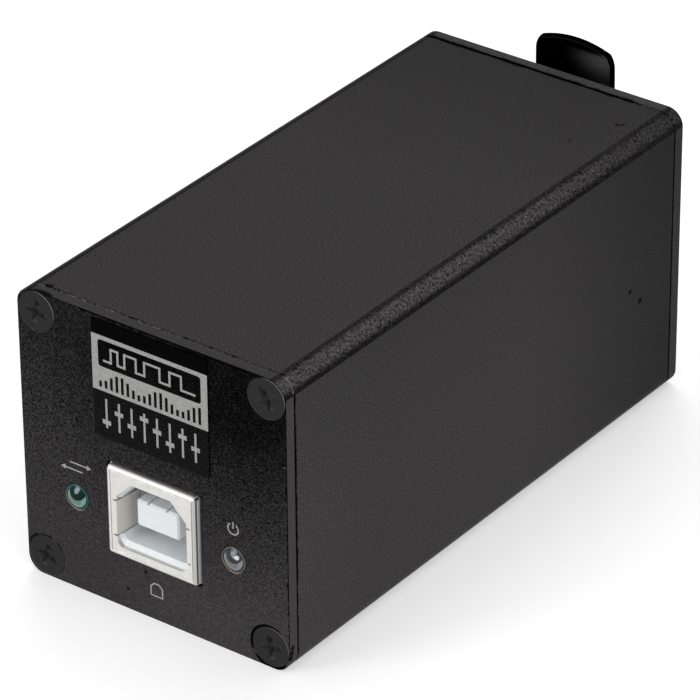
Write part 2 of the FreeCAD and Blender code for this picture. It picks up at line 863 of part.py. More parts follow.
def electrolytic_capacitor():
    """The round can, with a groove near its foot."""
    x, y = can_place
    base = board_top + can_base_height
    groove = base + can_groove_lift
    waist = can_radius - can_groove_depth
    lower = Part.makeCone(can_radius, waist, can_groove_height / 2, Vector(x, y, groove), along_z)
    upper = Part.makeCone(waist, can_radius, can_groove_height / 2,
                          Vector(x, y, groove + can_groove_height / 2), along_z)
    foot = rod_z(can_radius, (base, groove), x, y)
    can = rod_z(can_radius, (groove + can_groove_height, base + can_height), x, y)
    return foot.fuse([lower, upper, can])


# XLR socket

def sleeve_places():
    """Where the three contacts lie, as X and Z places."""
    return [(sleeve_circle * math.sin(math.radians(angle)),
             xlr_z + sleeve_circle * math.cos(math.radians(angle))) for angle in sleeve_angles]


def xlr_solid():
    """The outside of the moulded body: collar, barrel, pedestal, flange, bosses and spine."""
    inside = (body_front, body_rear)
    pedestal = wide_block(pedestal_width / 2, inside, (board_top, xlr_z))
    flange = rounded_block((-flange_half_width, flange_half_width),
                           (body_rear - flange_thickness, body_rear),
                           (board_top, flange_top), flange_radius, along_y)
    spine = wide_block(spine_half_width, (pivot_y - spine_reach, body_rear), (xlr_z, spine_top))
    collar = rod_y(collar_radius, (body_rear - flange_thickness, collar_rear), 0, xlr_z)
    collar = collar.makeChamfer(collar_chamfer, edges_at(collar, collar_rear))
    boss = rod_y(xlr_boss_radius, (body_rear - xlr_screw_length, body_rear),
                 xlr_screw_side, xlr_screw_z)
    barrel = rod_y(barrel_radius, inside, 0, xlr_z)
    return barrel.fuse([pedestal, flange, spine, collar] + both_sides(boss))


def latch_channel():
    """The room for the lever: shallow over the bore, deep behind it, and a slot for the catch."""
    sky = case_height
    shallow = wide_block(channel_half_width, (bore_end, body_rear + probe), (channel_floor, sky))
    shallow = shallow.cut(rod_y(collar_radius, (body_rear, collar_rear), 0, xlr_z))
    deep = wide_block(channel_half_width, (body_front - overrun, bore_end), (deep_floor, sky))
    catch_rear = collar_rear - catch_setback - catch_length
    slot = wide_block(catch_width / 2 + catch_slot_gap,
                      (catch_rear - catch_slot_gap, collar_rear + overrun), (xlr_z, sky))
    return [shallow, deep, slot]


def xlr_housing():
    """The moulded body of the XLR socket."""
    bore = rod_y(bore_radius, (bore_end, collar_rear + overrun), 0, xlr_z)
    pin_hole = rod_x(latch_pin_radius + pin_gap, spine_half_width + overrun, pivot_y, pivot_z)
    pocket = rod_z(pocket_radius, (spring_foot, case_height), 0, spring_y)
    half = tail_width / 2 + seat_gap
    rise = tail_thickness / 2 + seat_gap
    tails = [block((x - half, x + half), (body_front - overrun, bore_end + overrun),
                   (z - rise, z + rise)) for x, z in sleeve_places()]
    screw_holes = both_sides(rod_y(xlr_screw_radius + pin_gap,
                                   (body_rear - xlr_screw_length, body_rear + overrun),
                                   xlr_screw_side, xlr_screw_z))
    cuts = [bore, pin_hole, pocket] + tails + screw_holes + latch_channel()
    return xlr_solid().cut(cuts).removeSplitter()


def xlr_insert():
    """The round contact carrier with its three holes and its key groove."""
    face = collar_rear - insert_recess
    carrier = rod_y(insert_radius, (bore_end, face), 0, xlr_z)
    holes = [rod_y(sleeve_radius + seat_gap, (bore_end - overrun, face + overrun), x, z)
             for x, z in sleeve_places()]
    key = wide_block(insert_key_width / 2, (bore_end - overrun, face + overrun),
                     (xlr_z - insert_radius - overrun, xlr_z - insert_radius + insert_key_depth))
    return carrier.cut(holes + [key])


def xlr_contact(x, z):
    """One sleeve with its tail, which bends down into the board."""
    front = collar_rear - insert_recess - sleeve_recess
    sleeve = rod_y(sleeve_radius, (bore_end, front), x, z)
    sleeve = sleeve.cut(rod_y(sleeve_bore_radius, (front - sleeve_bore_depth, front + overrun),
                              x, z))
    tail = bent_lead(tail_width, tail_thickness, x, (bore_end + tail_thickness, tail_y),
                     (z, lead_end), tail_bend)
    return sleeve.fuse(tail).removeSplitter()


def xlr_screw():
    """A screw that points along Y, with its bevelled head outside zero."""
    head = rod_y(xlr_screw_head_radius, (-xlr_screw_head_height, 0), 0, 0)
    head = head.makeChamfer(xlr_screw_chamfer, edges_at(head, -xlr_screw_head_height))
    shank = rod_y(xlr_screw_radius, (0, xlr_screw_length), 0, 0)
    recess = [wedge.translated(along_y * -xlr_screw_head_height) for wedge in cross_recess(0)]
    return head.fuse(shank).cut(recess).removeSplitter()


def xlr_screws():
    """The two screws that hold the socket to the rear panel."""
    return group(set_in_rear(xlr_screw(), x, xlr_screw_z)
                 for x in (-xlr_screw_side, xlr_screw_side))


# Latch

def latch_tab():
    """The upright finger tab: crowned top, round corners and a dished rear face."""
    side = tab_width / 2
    tab = block((-side, side), (tab_front, tab_rear), (tab_base, tab_top))
    upper = [edge for edge in edges_along(tab, along_y)
             if edge.BoundBox.ZMin > tab_base + tab_corner_radius]
    tab = tab.makeFillet(tab_corner_radius, upper)
    crown = rod_y(tab_crown_radius, (tab_front - overrun, tab_rear + overrun), 0,
                  tab_top - tab_crown_radius)
    tab = tab.common(crown)
    tab = tab.makeFillet(tab_edge_radius, edges_at(tab, tab_front) + edges_at(tab, tab_rear))
    dish = rod_x(tab_dish_radius, side + overrun, tab_rear + tab_dish_radius - tab_dish_depth,
                 (arm_top + tab_top) / 2)
    return tab.cut(dish)


def latch_catch():
    """The tooth that dips into the bore, with a ramp towards the plug."""
    rear = collar_rear - catch_setback
    base = bore_top - catch_dip
    outline = [(rear - catch_length, base), (rear - catch_ramp, base), (rear, base + catch_ramp),
               (rear, arm_base + arm_thickness / 2),
               (rear - catch_length, arm_base + arm_thickness / 2)]
    return slab_x(outline, catch_width / 2)


def latch_lever():
    """The rocking lever: hub, arm to the tab, catch and spring tail."""
    half = lever_width / 2
    hub = rod_x(hub_radius, half, pivot_y, pivot_z)
    arm = wide_block(half, (pivot_y, tab_rear - tab_thickness / 2), (arm_base, arm_top))
    tail = wide_block(half, (tail_end, pivot_y), (pivot_z, pivot_z + arm_thickness))
    lever = hub.fuse([arm, tail, latch_tab(), latch_catch()])
    pin_hole = rod_x(latch_pin_radius + pin_gap, half + overrun, pivot_y, pivot_z)
    return lever.cut(pin_hole).removeSplitter()


def latch_pivot_pin():
    """The pin that carries the lever between the two walls of the spine."""
    return rod_x(latch_pin_radius, spine_half_width - seat_gap, pivot_y, pivot_z)


def arc_from(start, corner, end):
    """An arc between two places whose end tangents meet at a corner."""
    middle = (start + end) * 0.5
    half_chord = (end - start).Length / 2
    half_turn = math.atan2((corner - middle).Length, half_chord)
    crown = (corner - middle).normalize() * (half_chord * math.tan(half_turn / 2))
    return Part.Arc(start, middle + crown, end).toShape()


def biarc(start, start_run, end, end_run):
    """Two tangent arcs between two places with unit directions."""
    span = end - start
    runs = start_run + end_run
    opening = 2 * (1 - start_run.dot(end_run))
    along = span.dot(runs)
    reach = (math.sqrt(along ** 2 + opening * span.dot(span)) - along) / opening
    first = start + start_run * reach
    last = end - end_run * reach
    joint = (first + last) * 0.5
    return [arc_from(start, first, joint), arc_from(joint, last, end)]


def latch_spring():
    """The coil under the lever's tail, in half turns of two arcs each."""
    coil = spring_radius - spring_wire_radius
    foot = spring_foot + spring_wire_radius
    height = spring_length - 2 * spring_wire_radius
    pitch = height / spring_turns
    rise = math.atan2(pitch, 2 * math.pi * coil)

    def place(turn):
        """A place on the coil and its direction, after so many turns."""
        angle = 2 * math.pi * turn
        point = Vector(coil * math.cos(angle), spring_y + coil * math.sin(angle),
                       foot + pitch * turn)
        run = Vector(-math.sin(angle) * math.cos(rise), math.cos(angle) * math.cos(rise),
                     math.sin(rise))
        return point, run

    edges = []
    for half in range(2 * spring_turns):
        edges += biarc(*place(half / 2), *place((half + 1) / 2))
    start, run = place(0)
    outward = Vector(1, 0, 0)
    upward = run.cross(outward)
    corners = [start + outward * (spring_wire_radius * math.cos(math.radians(angle)))
               + upward * (spring_wire_radius * math.sin(math.radians(angle)))
               for angle in range(0, 360, 360 // spring_sides)]
    section = Part.makePolygon(corners + corners[:1])
    return Part.Wire(edges).makePipeShell([section], True, False)


pieces = {
    "housing_tube": housing_tube(),
    "front_panel": front_panel(),
    "rear_panel": rear_panel(),
    "front_panel_screws": corner_screws(set_in_front, front_screw_turns),
    "rear_panel_screws": corner_screws(set_in_rear, rear_screw_turns),
    "front_label": front_label(),
    "usb_shell": usb_shell(),
    "usb_insulator": usb_insulator(),
    "usb_contacts": group(usb_contact_set(0)),
    "data_led_lens": led_lens(-led_x),
    "data_led_leads": led_leads(-led_x),
    "power_led_lens": led_lens(led_x),
    "power_led_leads": led_leads(led_x),
    "circuit_board": circuit_board(),
    "usb_bridge_chip": chip_body(bridge_size, bridge_place),
    "usb_bridge_legs": bridge_leg_set(),
    "microcontroller_chip": chip_body(controller_size, controller_place),
    "microcontroller_legs": controller_leg_set(),
    "line_driver_chip": chip_body(driver_size, driver_place),
    "line_driver_legs": driver_leg_set(),
    "crystal_can": crystal_can(),
    "capacitor_base": capacitor_base(),
    "electrolytic_capacitor": electrolytic_capacitor(),
    "resettable_fuse": board_block(fuse_size, fuse_place),
    "chip_resistors": group(board_block(resistor_size, place) for place in resistor_places),
    "ceramic_capacitors": group(board_block(ceramic_size, place) for place in ceramic_places),
    "xlr_housing": xlr_housing(),
    "xlr_insert": xlr_insert(),
    "xlr_contacts": group(xlr_contact(x, z) for x, z in sleeve_places()),
    "xlr_screws": xlr_screws(),
    "latch_lever": latch_lever(),
    "latch_pivot_pin": latch_pivot_pin(),
    "latch_spring": latch_spring(),
}

for name, shape in pieces.items():
    shape.exportStep("parts/" + name + ".step")
    print(name, "solids", len(shape.Solids), "valid", shape.isValid(),
          "volume", round(shape.Volume, 3))
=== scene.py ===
import math

import bmesh
import bpy
from bpy.props import FloatProperty, FloatVectorProperty, IntProperty, PointerProperty
from mathutils import Matrix, Vector


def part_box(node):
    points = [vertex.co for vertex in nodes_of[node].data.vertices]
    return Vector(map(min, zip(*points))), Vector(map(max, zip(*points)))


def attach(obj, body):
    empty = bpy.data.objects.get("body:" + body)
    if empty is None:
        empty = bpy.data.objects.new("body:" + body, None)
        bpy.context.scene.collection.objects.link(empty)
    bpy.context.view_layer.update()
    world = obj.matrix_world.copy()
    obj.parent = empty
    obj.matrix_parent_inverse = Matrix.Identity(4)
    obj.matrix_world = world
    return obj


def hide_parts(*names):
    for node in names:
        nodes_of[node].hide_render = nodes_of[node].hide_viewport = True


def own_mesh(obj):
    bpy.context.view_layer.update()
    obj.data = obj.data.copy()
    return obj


bl_info = {
    "name": "Lighting interface looks",
    "version": (1, 0, 0),
    "blender": (4, 5, 0),
    "location": "3D View > Sidebar > Interface",
    "description": "Finishes, printed marks and stage of a USB lighting interface in an "
                   "aluminium case",
    "category": "Object",
}

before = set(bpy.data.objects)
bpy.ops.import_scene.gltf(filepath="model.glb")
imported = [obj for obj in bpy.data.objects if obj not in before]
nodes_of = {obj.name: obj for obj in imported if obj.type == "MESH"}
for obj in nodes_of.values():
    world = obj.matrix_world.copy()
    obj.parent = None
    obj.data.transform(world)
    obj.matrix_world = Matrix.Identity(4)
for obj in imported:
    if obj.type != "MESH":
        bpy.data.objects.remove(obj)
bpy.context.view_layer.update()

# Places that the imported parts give
case_side, seam_place, case_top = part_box("housing_tube")[1]
front_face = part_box("front_panel")[0].y
label_low, label_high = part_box("front_label")
socket_low, socket_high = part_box("usb_shell")
data_low, data_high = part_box("data_led_lens")
power_low, power_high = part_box("power_led_lens")
spring_low, spring_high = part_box("latch_spring")
lever_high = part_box("latch_lever")[1]
data_lamp = (data_low + data_high) / 2
power_lamp = (power_low + power_high) / 2

MM = 0.001
SCREW_INSET = 2.5 * MM
CORNER_RADIUS = 2 * MM
LENS_RADIUS = 1.5 * MM
SEAM_REACH = 0.2 * MM
WIRE_RADIUS = 0.175 * MM
COIL_TURNS = 4
WHITE = (1, 1, 1, 1)
TO_THE_FRONT = (math.pi / 2, 0, 0)
# The cut edge round a lamp and the painted shade round a screw: inner and outer radius in
# millimetres
LAMP_CUT = (1.53, 1.63)
SCREW_SHADE_RING = (2.3, 2.66)
# Where the lamps' light on the floor starts to fade and where it ends, in metres
LAMPS_REACH = (0.15, 0.8)
# The part of its range that a noise seldom leaves
NOISE_SPREAD = (0.35, 0.65)

# Small dark knocks and light scrapes on the case: their places and sizes in millimetres
MARKS = ((13.4, 29.2, 35, 0.35), (13.9, 29.6, 35, 0.3), (11.3, 23.1, 35, 0.25),
         (17.5, 26.4, 16.6, 0.4), (17.5, 28.4, 14.6, 0.5),
         (-1.4, -36.2, 5.5, 0.28), (-3.9, -36.2, 2.5, 0.25),
         (-10, -36.2, 21.1, 0.25), (17.1, -36.2, 25.4, 0.3), (-14.75, -34.6, 35, 0.36),
         (-14.3, -34.45, 35, 0.42), (-15.1, -36.1, 35, 0.4), (-14.6, -36, 35, 0.45),
         (-14.1, -35.95, 35, 0.42), (-13.6, -36, 35, 0.44), (-13.1, -36.05, 35, 0.36),
         (17.5, -35.7, 3.1, 0.42), (17.5, -35.85, 2.5, 0.45), (17.5, -35.95, 1.9, 0.4))
SCRAPES = ((16.5, -34.75, 34.7, 0.3), (17.45, -34.9, 33.5, 0.22), (17.2, -36.2, 25.15, 0.14))


def length(name, description, millimetres):
    """A size that a user can change."""
    return FloatProperty(name=name, description=description, default=millimetres * MM,
                         precision=5, subtype="DISTANCE", unit="LENGTH")


def angle(name, description, degrees):
    """A turn that a user can change."""
    return FloatProperty(name=name, description=description, default=math.radians(degrees),
                         subtype="ANGLE", unit="ROTATION")


def share(name, description, default):
    """A number between zero and one, or a plain strength."""
    return FloatProperty(name=name, description=description, default=default, min=0.0)


def colour(name, description, red, green, blue):
    """A colour that a user can change."""
    return FloatVectorProperty(name=name, description=description, default=(red, green, blue),
                               size=3, min=0.0, max=1.0, subtype="COLOR")


class StageSettings(bpy.types.PropertyGroup):
    """Camera, floor and light"""
    azimuth: angle("Camera azimuth", "Turn of the camera to the right", 36.802)
    elevation: angle("Camera elevation", "Height of the camera as an angle", 30.522)
    roll: angle("Camera roll", "Tilt of the picture", -0.492)
    distance: length("Camera distance", "From the camera to its target", 545.5)
    target: FloatVectorProperty(name="Camera target",
                                description="The place in the picture's middle",
                                default=(-1.49 * MM, 0, 15.23 * MM), subtype="XYZ", unit="LENGTH")
    lens: FloatProperty(name="Lens", description="Focal length for a sensor 36 mm wide",
                        default=257.48)
    floor_size: length("Floor size", "Width of the floor", 6000)
    floor_colour: colour("Floor", "Plain pale floor", 0.86, 0.86, 0.86)
    floor_glow: share("Floor glow", "Light that the camera sees on the floor besides its own", 0.34)
    floor_glow_far: share("Far floor glow", "The same where the lamps no longer reach", 0.50)
    sky: share("Sky", "Strength of the even light from all round", 0.62)


class CaseColours(bpy.types.PropertyGroup):
    """Colours of the case, its screws and its prints"""
    # Light and dark are the two ends of the painted shade over each part of the case
    light: colour("Anodised, light", "The lighter parts of the black case", 0.0580, 0.0550, 0.0566)
    dark: colour("Anodised, dark", "The darkest parts of the black case", 0.0022, 0.0021, 0.0022)
    # The seam colour paints shade in the groove and round the lower screws, and colours the knocks
    # and the ragged edge
    seam: colour("Seam", "The groove between tube and panel", 0.0012, 0.0012, 0.0012)
    bare: colour("Bare metal", "Worn edges and cut holes", 0.36, 0.34, 0.31)
    cut: colour("Cut hole edge", "The thin broken edge round a lamp", 0.30, 0.22, 0.17)
    screw: colour("Screws", "Blackened steel", 0.027, 0.0265, 0.0265)
    film: colour("Label film", "Black sticker", 0.0026, 0.0026, 0.0028)
    # Silver also paints the highlight on the screws' rims
    silver: colour("Silver print", "Band of the sticker", 0.31, 0.31, 0.305)
    ink: colour("Light print", "Marks on the case and the sticker", 0.33, 0.325, 0.31)


class SocketColours(bpy.types.PropertyGroup):
    """Colours of the sockets, the lamps and the latch"""
    nickel: colour("Nickel", "Shell of the square socket", 0.71, 0.70, 0.67)
    # The shaded, brown, side and inside nickel colours are painted shade, reflection and light
    shadow: colour("Nickel, shaded", "The crease where the shell turns to the right",
                   0.05, 0.045, 0.042)
    fold: colour("Nickel, brown", "The shell's face beside that crease", 0.40, 0.35, 0.31)
    strip: colour("Nickel, side", "The side of the shell that faces right", 0.44, 0.455, 0.48)
    tongue: colour("Nickel, inside", "The shell's left wall inside its opening", 0.62, 0.59, 0.54)
    white: colour("White moulding", "Insulator of the square socket", 0.76, 0.79, 0.81)
    # The well colour is painted light at the bottom of the opening
    well: colour("White moulding, well", "Bottom of the square socket's opening",
                 0.87, 0.905, 0.925)
    contact: colour("Contacts", "Plated contacts of the square socket", 0.62, 0.59, 0.52)
    # The pale, deep and rim colours of each lens are painted reflections and a painted highlight
    green_lens: colour("Green lens", "Left lamp", 0.007, 0.060, 0.042)
    green_pale: colour("Green lens, pale", "Crescent low in the left lamp", 0.22, 0.34, 0.30)
    green_deep: colour("Green lens, deep", "Upper part of the left lamp", 0.001, 0.019, 0.014)
    green_rim: colour("Green lens, rim", "Rim of the left lamp", 0.06, 0.16, 0.18)
    clear_lens: colour("Clear lens", "Right lamp", 0.034, 0.035, 0.038)
    clear_pale: colour("Clear lens, pale", "Crescent low in the right lamp", 0.26, 0.26, 0.28)
    clear_deep: colour("Clear lens, deep", "Upper part of the right lamp", 0.045, 0.046, 0.052)
    clear_rim: colour("Clear lens, rim", "Rim of the right lamp", 0.20, 0.21, 0.24)
    glint: colour("Glint", "Lamp light mirrored in the right lamp", 0.80, 0.81, 0.83)
    window: colour("Window", "Sky mirrored high in both lamps", 0.25, 0.31, 0.34)
    tin: colour("Tinned lead", "Leads and chip legs", 0.62, 0.61, 0.59)
    moulding: colour("Black moulding", "Body of the round socket", 0.014, 0.014, 0.015)
    carrier: colour("Contact carrier", "Face of the round socket", 0.020, 0.020, 0.021)
    sleeve: colour("Sleeves", "Silver contacts of the round socket", 0.66, 0.65, 0.62)
    latch: colour("Latch", "Black finger tab", 0.0016, 0.0016, 0.0016)
    # The latch's lighter colour is a painted highlight on the tab's face
    sheen: colour("Latch sheen", "Where fingers have dulled the tab", 0.12, 0.118, 0.118)
    steel: colour("Steel", "Pin and spring", 0.50, 0.49, 0.47)


class BoardColours(bpy.types.PropertyGroup):
    """Colours of the circuit board and its parts"""
    board: colour("Board", "Solder mask", 0.010, 0.085, 0.030)
    chip: colour("Chips", "Moulded chips", 0.016, 0.016, 0.017)
    can: colour("Capacitor", "Bare can", 0.58, 0.58, 0.58)
    crystal: colour("Crystal", "Steel can", 0.52, 0.51, 0.49)
    resistor: colour("Resistors", "Black chips", 0.020, 0.020, 0.022)
    ceramic: colour("Ceramic capacitors", "Tan chips", 0.42, 0.27, 0.15)
    fuse: colour("Fuse", "Green resettable fuse", 0.03, 0.20, 0.10)


class PrintSizes(bpy.types.PropertyGroup):
    """Sizes of the printed marks"""
    thickness: length("Print thickness", "How far a print stands off what carries it", 0.02)
    band_base: length("Band base", "Height of the silver band's lower edge", 26.05)
    band_top: length("Band top", "Height of the silver band's upper edge", 32.7)
    window_base: length("Window base", "Height of the dark window's lower edge", 29.0)
    window_top: length("Window top", "Height of the dark window's upper edge", 32.2)
    window_half: length("Window half width", "From the middle to the window's side", 6.7)
    stroke: length("Trace stroke", "Width of the trace's line", 0.26)
    bar_count: IntProperty(name="Bars", description="How many bars the band has", default=19)
    bar_width: length("Bar width", "Width of one bar", 0.34)
    fader_count: IntProperty(name="Faders", description="How many faders the scale has", default=8)
    fader_base: length("Fader base", "Height of the faders' lower end", 21.7)
    fader_top: length("Fader top", "Height of the faders' upper end", 25.2)
    mark_height: length("Mark height", "Height of the marks beside the lamps", 1.5)
    mark_stroke: length("Mark stroke", "Width of the marks' lines", 0.16)


class Value:
    """A value that varies over the surface: plain arithmetic on it adds Math nodes."""

    def __init__(self, tree, socket):
        self.tree, self.socket = tree, socket

    def __add__(self, other):
        return self.tree.math("ADD", self, other)

    def __sub__(self, other):
        return self.tree.math("SUBTRACT", self, other)

    def __rsub__(self, other):
        return self.tree.math("SUBTRACT", other, self)

    def __mul__(self, other):
        return self.tree.math("MULTIPLY", self, other)

    def __truediv__(self, other):
        return self.tree.math("DIVIDE", self, other)

    def __abs__(self):
        return self.tree.math("ABSOLUTE", self)

    def __gt__(self, other):
        return self.tree.math("GREATER_THAN", self, other)

    def __lt__(self, other):
        return self.tree.math("LESS_THAN", self, other)

    def most(self, other):
        """The larger of two values."""
        return self.tree.math("MAXIMUM", self, other)

    def sign(self):
        """One above zero, and minus one below it."""
        return self.tree.math("SIGN", self)

    def line(self, start, end, low=0.0, high=1.0, kind="LINEAR"):
        """The value carried evenly from one range to another, and held at its ends."""
        return self.tree.value(0, "MapRange", {
            "Value": self, "From Min": start, "From Max": end, "To Min": low, "To Max": high,
        }, interpolation_type=kind)

    def ramp(self, start, end, low=0.0, high=1.0):
        """The same, but slow at both ends."""
        return self.line(start, end, low, high, "SMOOTHSTEP")


class Tree:
    """Adds nodes to one node tree and joins them from left to right."""

    def __init__(self, tree):
        self.tree = tree

    def add(self, kind, inputs=(), **settings):
        """A new node: inputs map a socket's name or number to a value or another socket."""
        node = self.tree.nodes.new(kind if kind.startswith("NodeGroup") else "ShaderNode" + kind)
        node.location.x = 180 * len(self.tree.nodes)
        for name, setting in settings.items():
            setattr(node, name, setting)
        for name, value in dict(inputs).items():
            value = value.socket if isinstance(value, Value) else value
            if isinstance(value, bpy.types.NodeSocket):
                self.tree.links.new(value, node.inputs[name])
            else:
                node.inputs[name].default_value = value
        return node

    def value(self, output, kind, inputs=(), **settings):
        """One output of a new node."""
        return Value(self, self.add(kind, inputs, **settings).outputs[output])

    def math(self, operation, *values, clamp=False):
        """The result of one Math node."""
        return self.value(0, "Math", enumerate(values), operation=operation, use_clamp=clamp)

    def mix(self, mask, first, second, blend="MIX"):
        """Two colours mixed by a mask."""
        first, second = [side if isinstance(side, Value) else four(side)
                         for side in (first, second)]
        return self.value(2, "Mix", {0: mask, 6: first, 7: second}, data_type="RGBA",
                          blend_type=blend)

    def layers(self, body, *layers):
        """A colour with others laid over it, each by its own mask."""
        for mask, paint in layers:
            body = self.mix(mask, body, paint)
        return body

    def shade(self, body, amount):
        """A colour made lighter or darker by a value round one."""
        return self.mix(1.0, body, amount, "MULTIPLY")

    def noise(self, scale, detail=3.0, roughness=0.5):
        """Noise round one half."""
        return self.value("Fac", "TexNoise", {"Vector": self.place(), "Scale": scale,
                                              "Detail": detail, "Roughness": roughness})

    def place(self, output="Object"):
        """The place on the object, or the way its surface faces."""
        return self.value(output, "TexCoord")

    def split(self, vector):
        """X, Y and Z of a vector."""
        outputs = self.add("SeparateXYZ", {0: vector}).outputs
        return [Value(self, socket) for socket in outputs]

    def axes(self):
        """X, Y and Z of the place on the object."""
        return self.split(self.place())

    def distance(self, centre):
        """How far the place on the object is from another one."""
        return self.value("Value", "VectorMath", {0: self.place(), 1: centre}, operation="DISTANCE")

    def effect(self, name, **inputs):
        """One of the shared effects with its own values: its outputs by their names."""
        outputs = self.add("Group", inputs, node_tree=effects[name]).outputs
        return {socket.name: Value(self, socket) for socket in outputs}

    def grain(self, scale, contrast):
        """Fine grain: its shade, its height and its light specks."""
        return self.effect("fine_grain", Scale=scale, Contrast=contrast)

    def patches(self, scale, low, high):
        """Slow patches between two values."""
        return self.effect("handling", Scale=scale, Low=low, High=high)["Value"]

    def spot(self, centre, inner, outer, output="Mask"):
        """A round mask or rim, its distances in millimetres."""
        return self.effect("spot", Centre=centre, Inner=inner * MM, Outer=outer * MM)[output]


class Finish(Tree):
    """A material's tree and shader, with the values that are the same all over."""

    def __init__(self, name, **fixed):
        self.material = bpy.data.materials.new(name)
        super().__init__(emptied(self.material))
        self.shader = self.add("BsdfPrincipled")
        self.shader.location.x = 4000
        output = self.add("OutputMaterial", {"Surface": self.shader.outputs["BSDF"]})
        output.location.x = 4300
        for label, value in fixed.items():
            self.shader.inputs[label.replace("_", " ")].default_value = value

    def done(self, body, rough, grain, depth, strength=1.0, **others):
        """Joins a colour, a roughness and a bump to the shader: the material."""
        normal = self.value(0, "Bump", {"Height": grain["Height"], "Distance": depth * MM,
                                        "Strength": strength})
        joins = {"Base Color": body, "Roughness": rough, "Normal": normal, **others}
        for label, value in joins.items():
            self.tree.links.new(value.socket, self.shader.inputs[label])
        return self.material


def emptied(owner):
    """The node tree of a material or a world, without nodes."""
    owner.use_nodes = True
    owner.node_tree.nodes.clear()
    return owner.node_tree


def four(rgb):
    """A colour with full opacity."""
    return (*rgb, 1.0)


def scaled(rgb, level):
    """A colour made lighter or darker all over."""
    return [level * part for part in rgb]


def apart(tree, across, upward):
    """The length of a step across and upward."""
    return tree.math("SQRT", tree.math("POWER", across, 2.0) + tree.math("POWER", upward, 2.0))


def fine_grain(tree, scale, contrast):
    """Fine grain: a shade that varies round one, a height for bumps and a mask of light specks."""
    noise = tree.noise(scale, 2.0, 0.6)
    shade = (noise - 0.5) * contrast + 1.0
    return {"Shade": shade.most(0.05), "Height": noise, "Specks": noise.ramp(0.52, 0.76)}


def handling(tree, scale, low, high):
    """Slow patches left by hands and cloths, between two values."""
    return {"Value": tree.noise(scale).ramp(*NOISE_SPREAD, low, high)}


def spot(tree, centre, inner, outer):
    """A round mask, one inside, and its rim, one between both distances."""
    distance = tree.distance(centre)
    return {"Mask": distance.ramp(inner, outer, 1.0, 0.0),
            "Rim": (distance > inner) * (distance < outer)}


def long_edge(tree, side, top, radius):
    """How far the case's surface has turned into a rounded upper edge: zero, one at its crest."""
    x, y, z = tree.axes()
    across = tree.math("DIVIDE", abs(x) - (side - radius), radius, clamp=True)
    upward = tree.math("DIVIDE", z - (top - radius), radius, clamp=True)
    return {"Turn": tree.math("MULTIPLY", across * upward, 2.0, clamp=True)}


def seam(tree, place, reach, top):
    """The painted shade in the groove beside each panel: faint and speckled at the front, wide at
    the rear.
    """
    x, y, z = tree.axes()
    away = abs(abs(y) - place)
    noise = tree.noise(900.0)
    rear = y > 0.0
    front = 1.0 - rear
    rounded = z.ramp(top - 2.1 * MM, top - 1.5 * MM)
    front_high = rounded * front
    # How wide the groove is
    wander = noise.line(*NOISE_SPREAD, 1.4, 2.9) - 1.0
    widened = wander * (z.ramp(top - 0.4 * MM, top) * rear) + 1.0
    thinned = tree.math("ADD", rear, noise.line(*NOISE_SPREAD, 0.6, 1.0), clamp=True)
    flank = z.ramp(4 * MM, 14 * MM) * (1.0 - rounded) * front
    width = reach * (widened * thinned) * flank.line(0.0, 1.0, 1.0, 1.4)
    groove = away.ramp(width * 0.5, width, 1.0, 0.0)
    # Where it fades: along the top at the front, and round the right corner at both ends
    corner = rounded * rear * x.ramp(11.5 * MM, 13.5 * MM)
    bend = x.ramp(15.8 * MM, 16.3 * MM) * z.ramp(33 * MM, 33.4 * MM) * front
    kept = (1.0 - front_high) + front_high * noise.ramp(0.45, 0.66, 0.10, 0.85)
    kept = kept * corner.line(0.0, 1.0, 1.0, 0.3) * bend.line(0.0, 1.0, 1.0, 0.2)
    # The bare metal that shows in it
    line = away.ramp(reach * 0.2, reach * 0.6, 1.0, 0.0)
    chips = tree.noise(3400.0, 2.0).ramp(0.47, 0.57) * x.ramp(-4 * MM, 6 * MM, 1.0, 0.25)
    worn = (line * chips * front_high).most(line * bend * 0.6)
    return {"Groove": groove * kept, "Worn": worn}


def knocked_edge(tree, face, top, side, reach):
    """A dark ragged line on the panel's face, along its top and its right side."""
    x, y, z = tree.axes()
    away = tree.math("MINIMUM", top - z, (side - x) * 2.2)
    noise = tree.noise(1900.0, 4.0)
    reach = reach * x.ramp(-9.8 * MM, -8.2 * MM, 0.2, 1.0) * noise.line(*NOISE_SPREAD, 0.1, 2.0)
    return {"Mask": away.ramp(reach * 0.7, reach, 1.0, 0.0) * (y < face + 0.03 * MM)}


def lens_glow(tree, centre, radius):
    """Painted reflections in a round lens: the pale crescent low in it, the dark part above it and
    a highlight on its rim.
    """
    middle = tree.split(centre)
    x, y, z = tree.axes()
    across, upward = (x - middle[0]) / radius, (z - middle[2]) / radius
    out = apart(tree, across, upward)
    bowl = apart(tree, across - 0.08, upward - 0.10).ramp(0.74, 0.81, 1.0, 0.0)
    roof = apart(tree, across - 0.14, upward - 0.66).ramp(0.68, 0.78, 1.0, 0.0)
    return {"Crescent": bowl * (1.0 - roof) * out.ramp(0.45, 0.68, 0.62, 1.0),
            "Rim": out.ramp(0.90, 0.98), "Upper": bowl * roof}


effects = {}


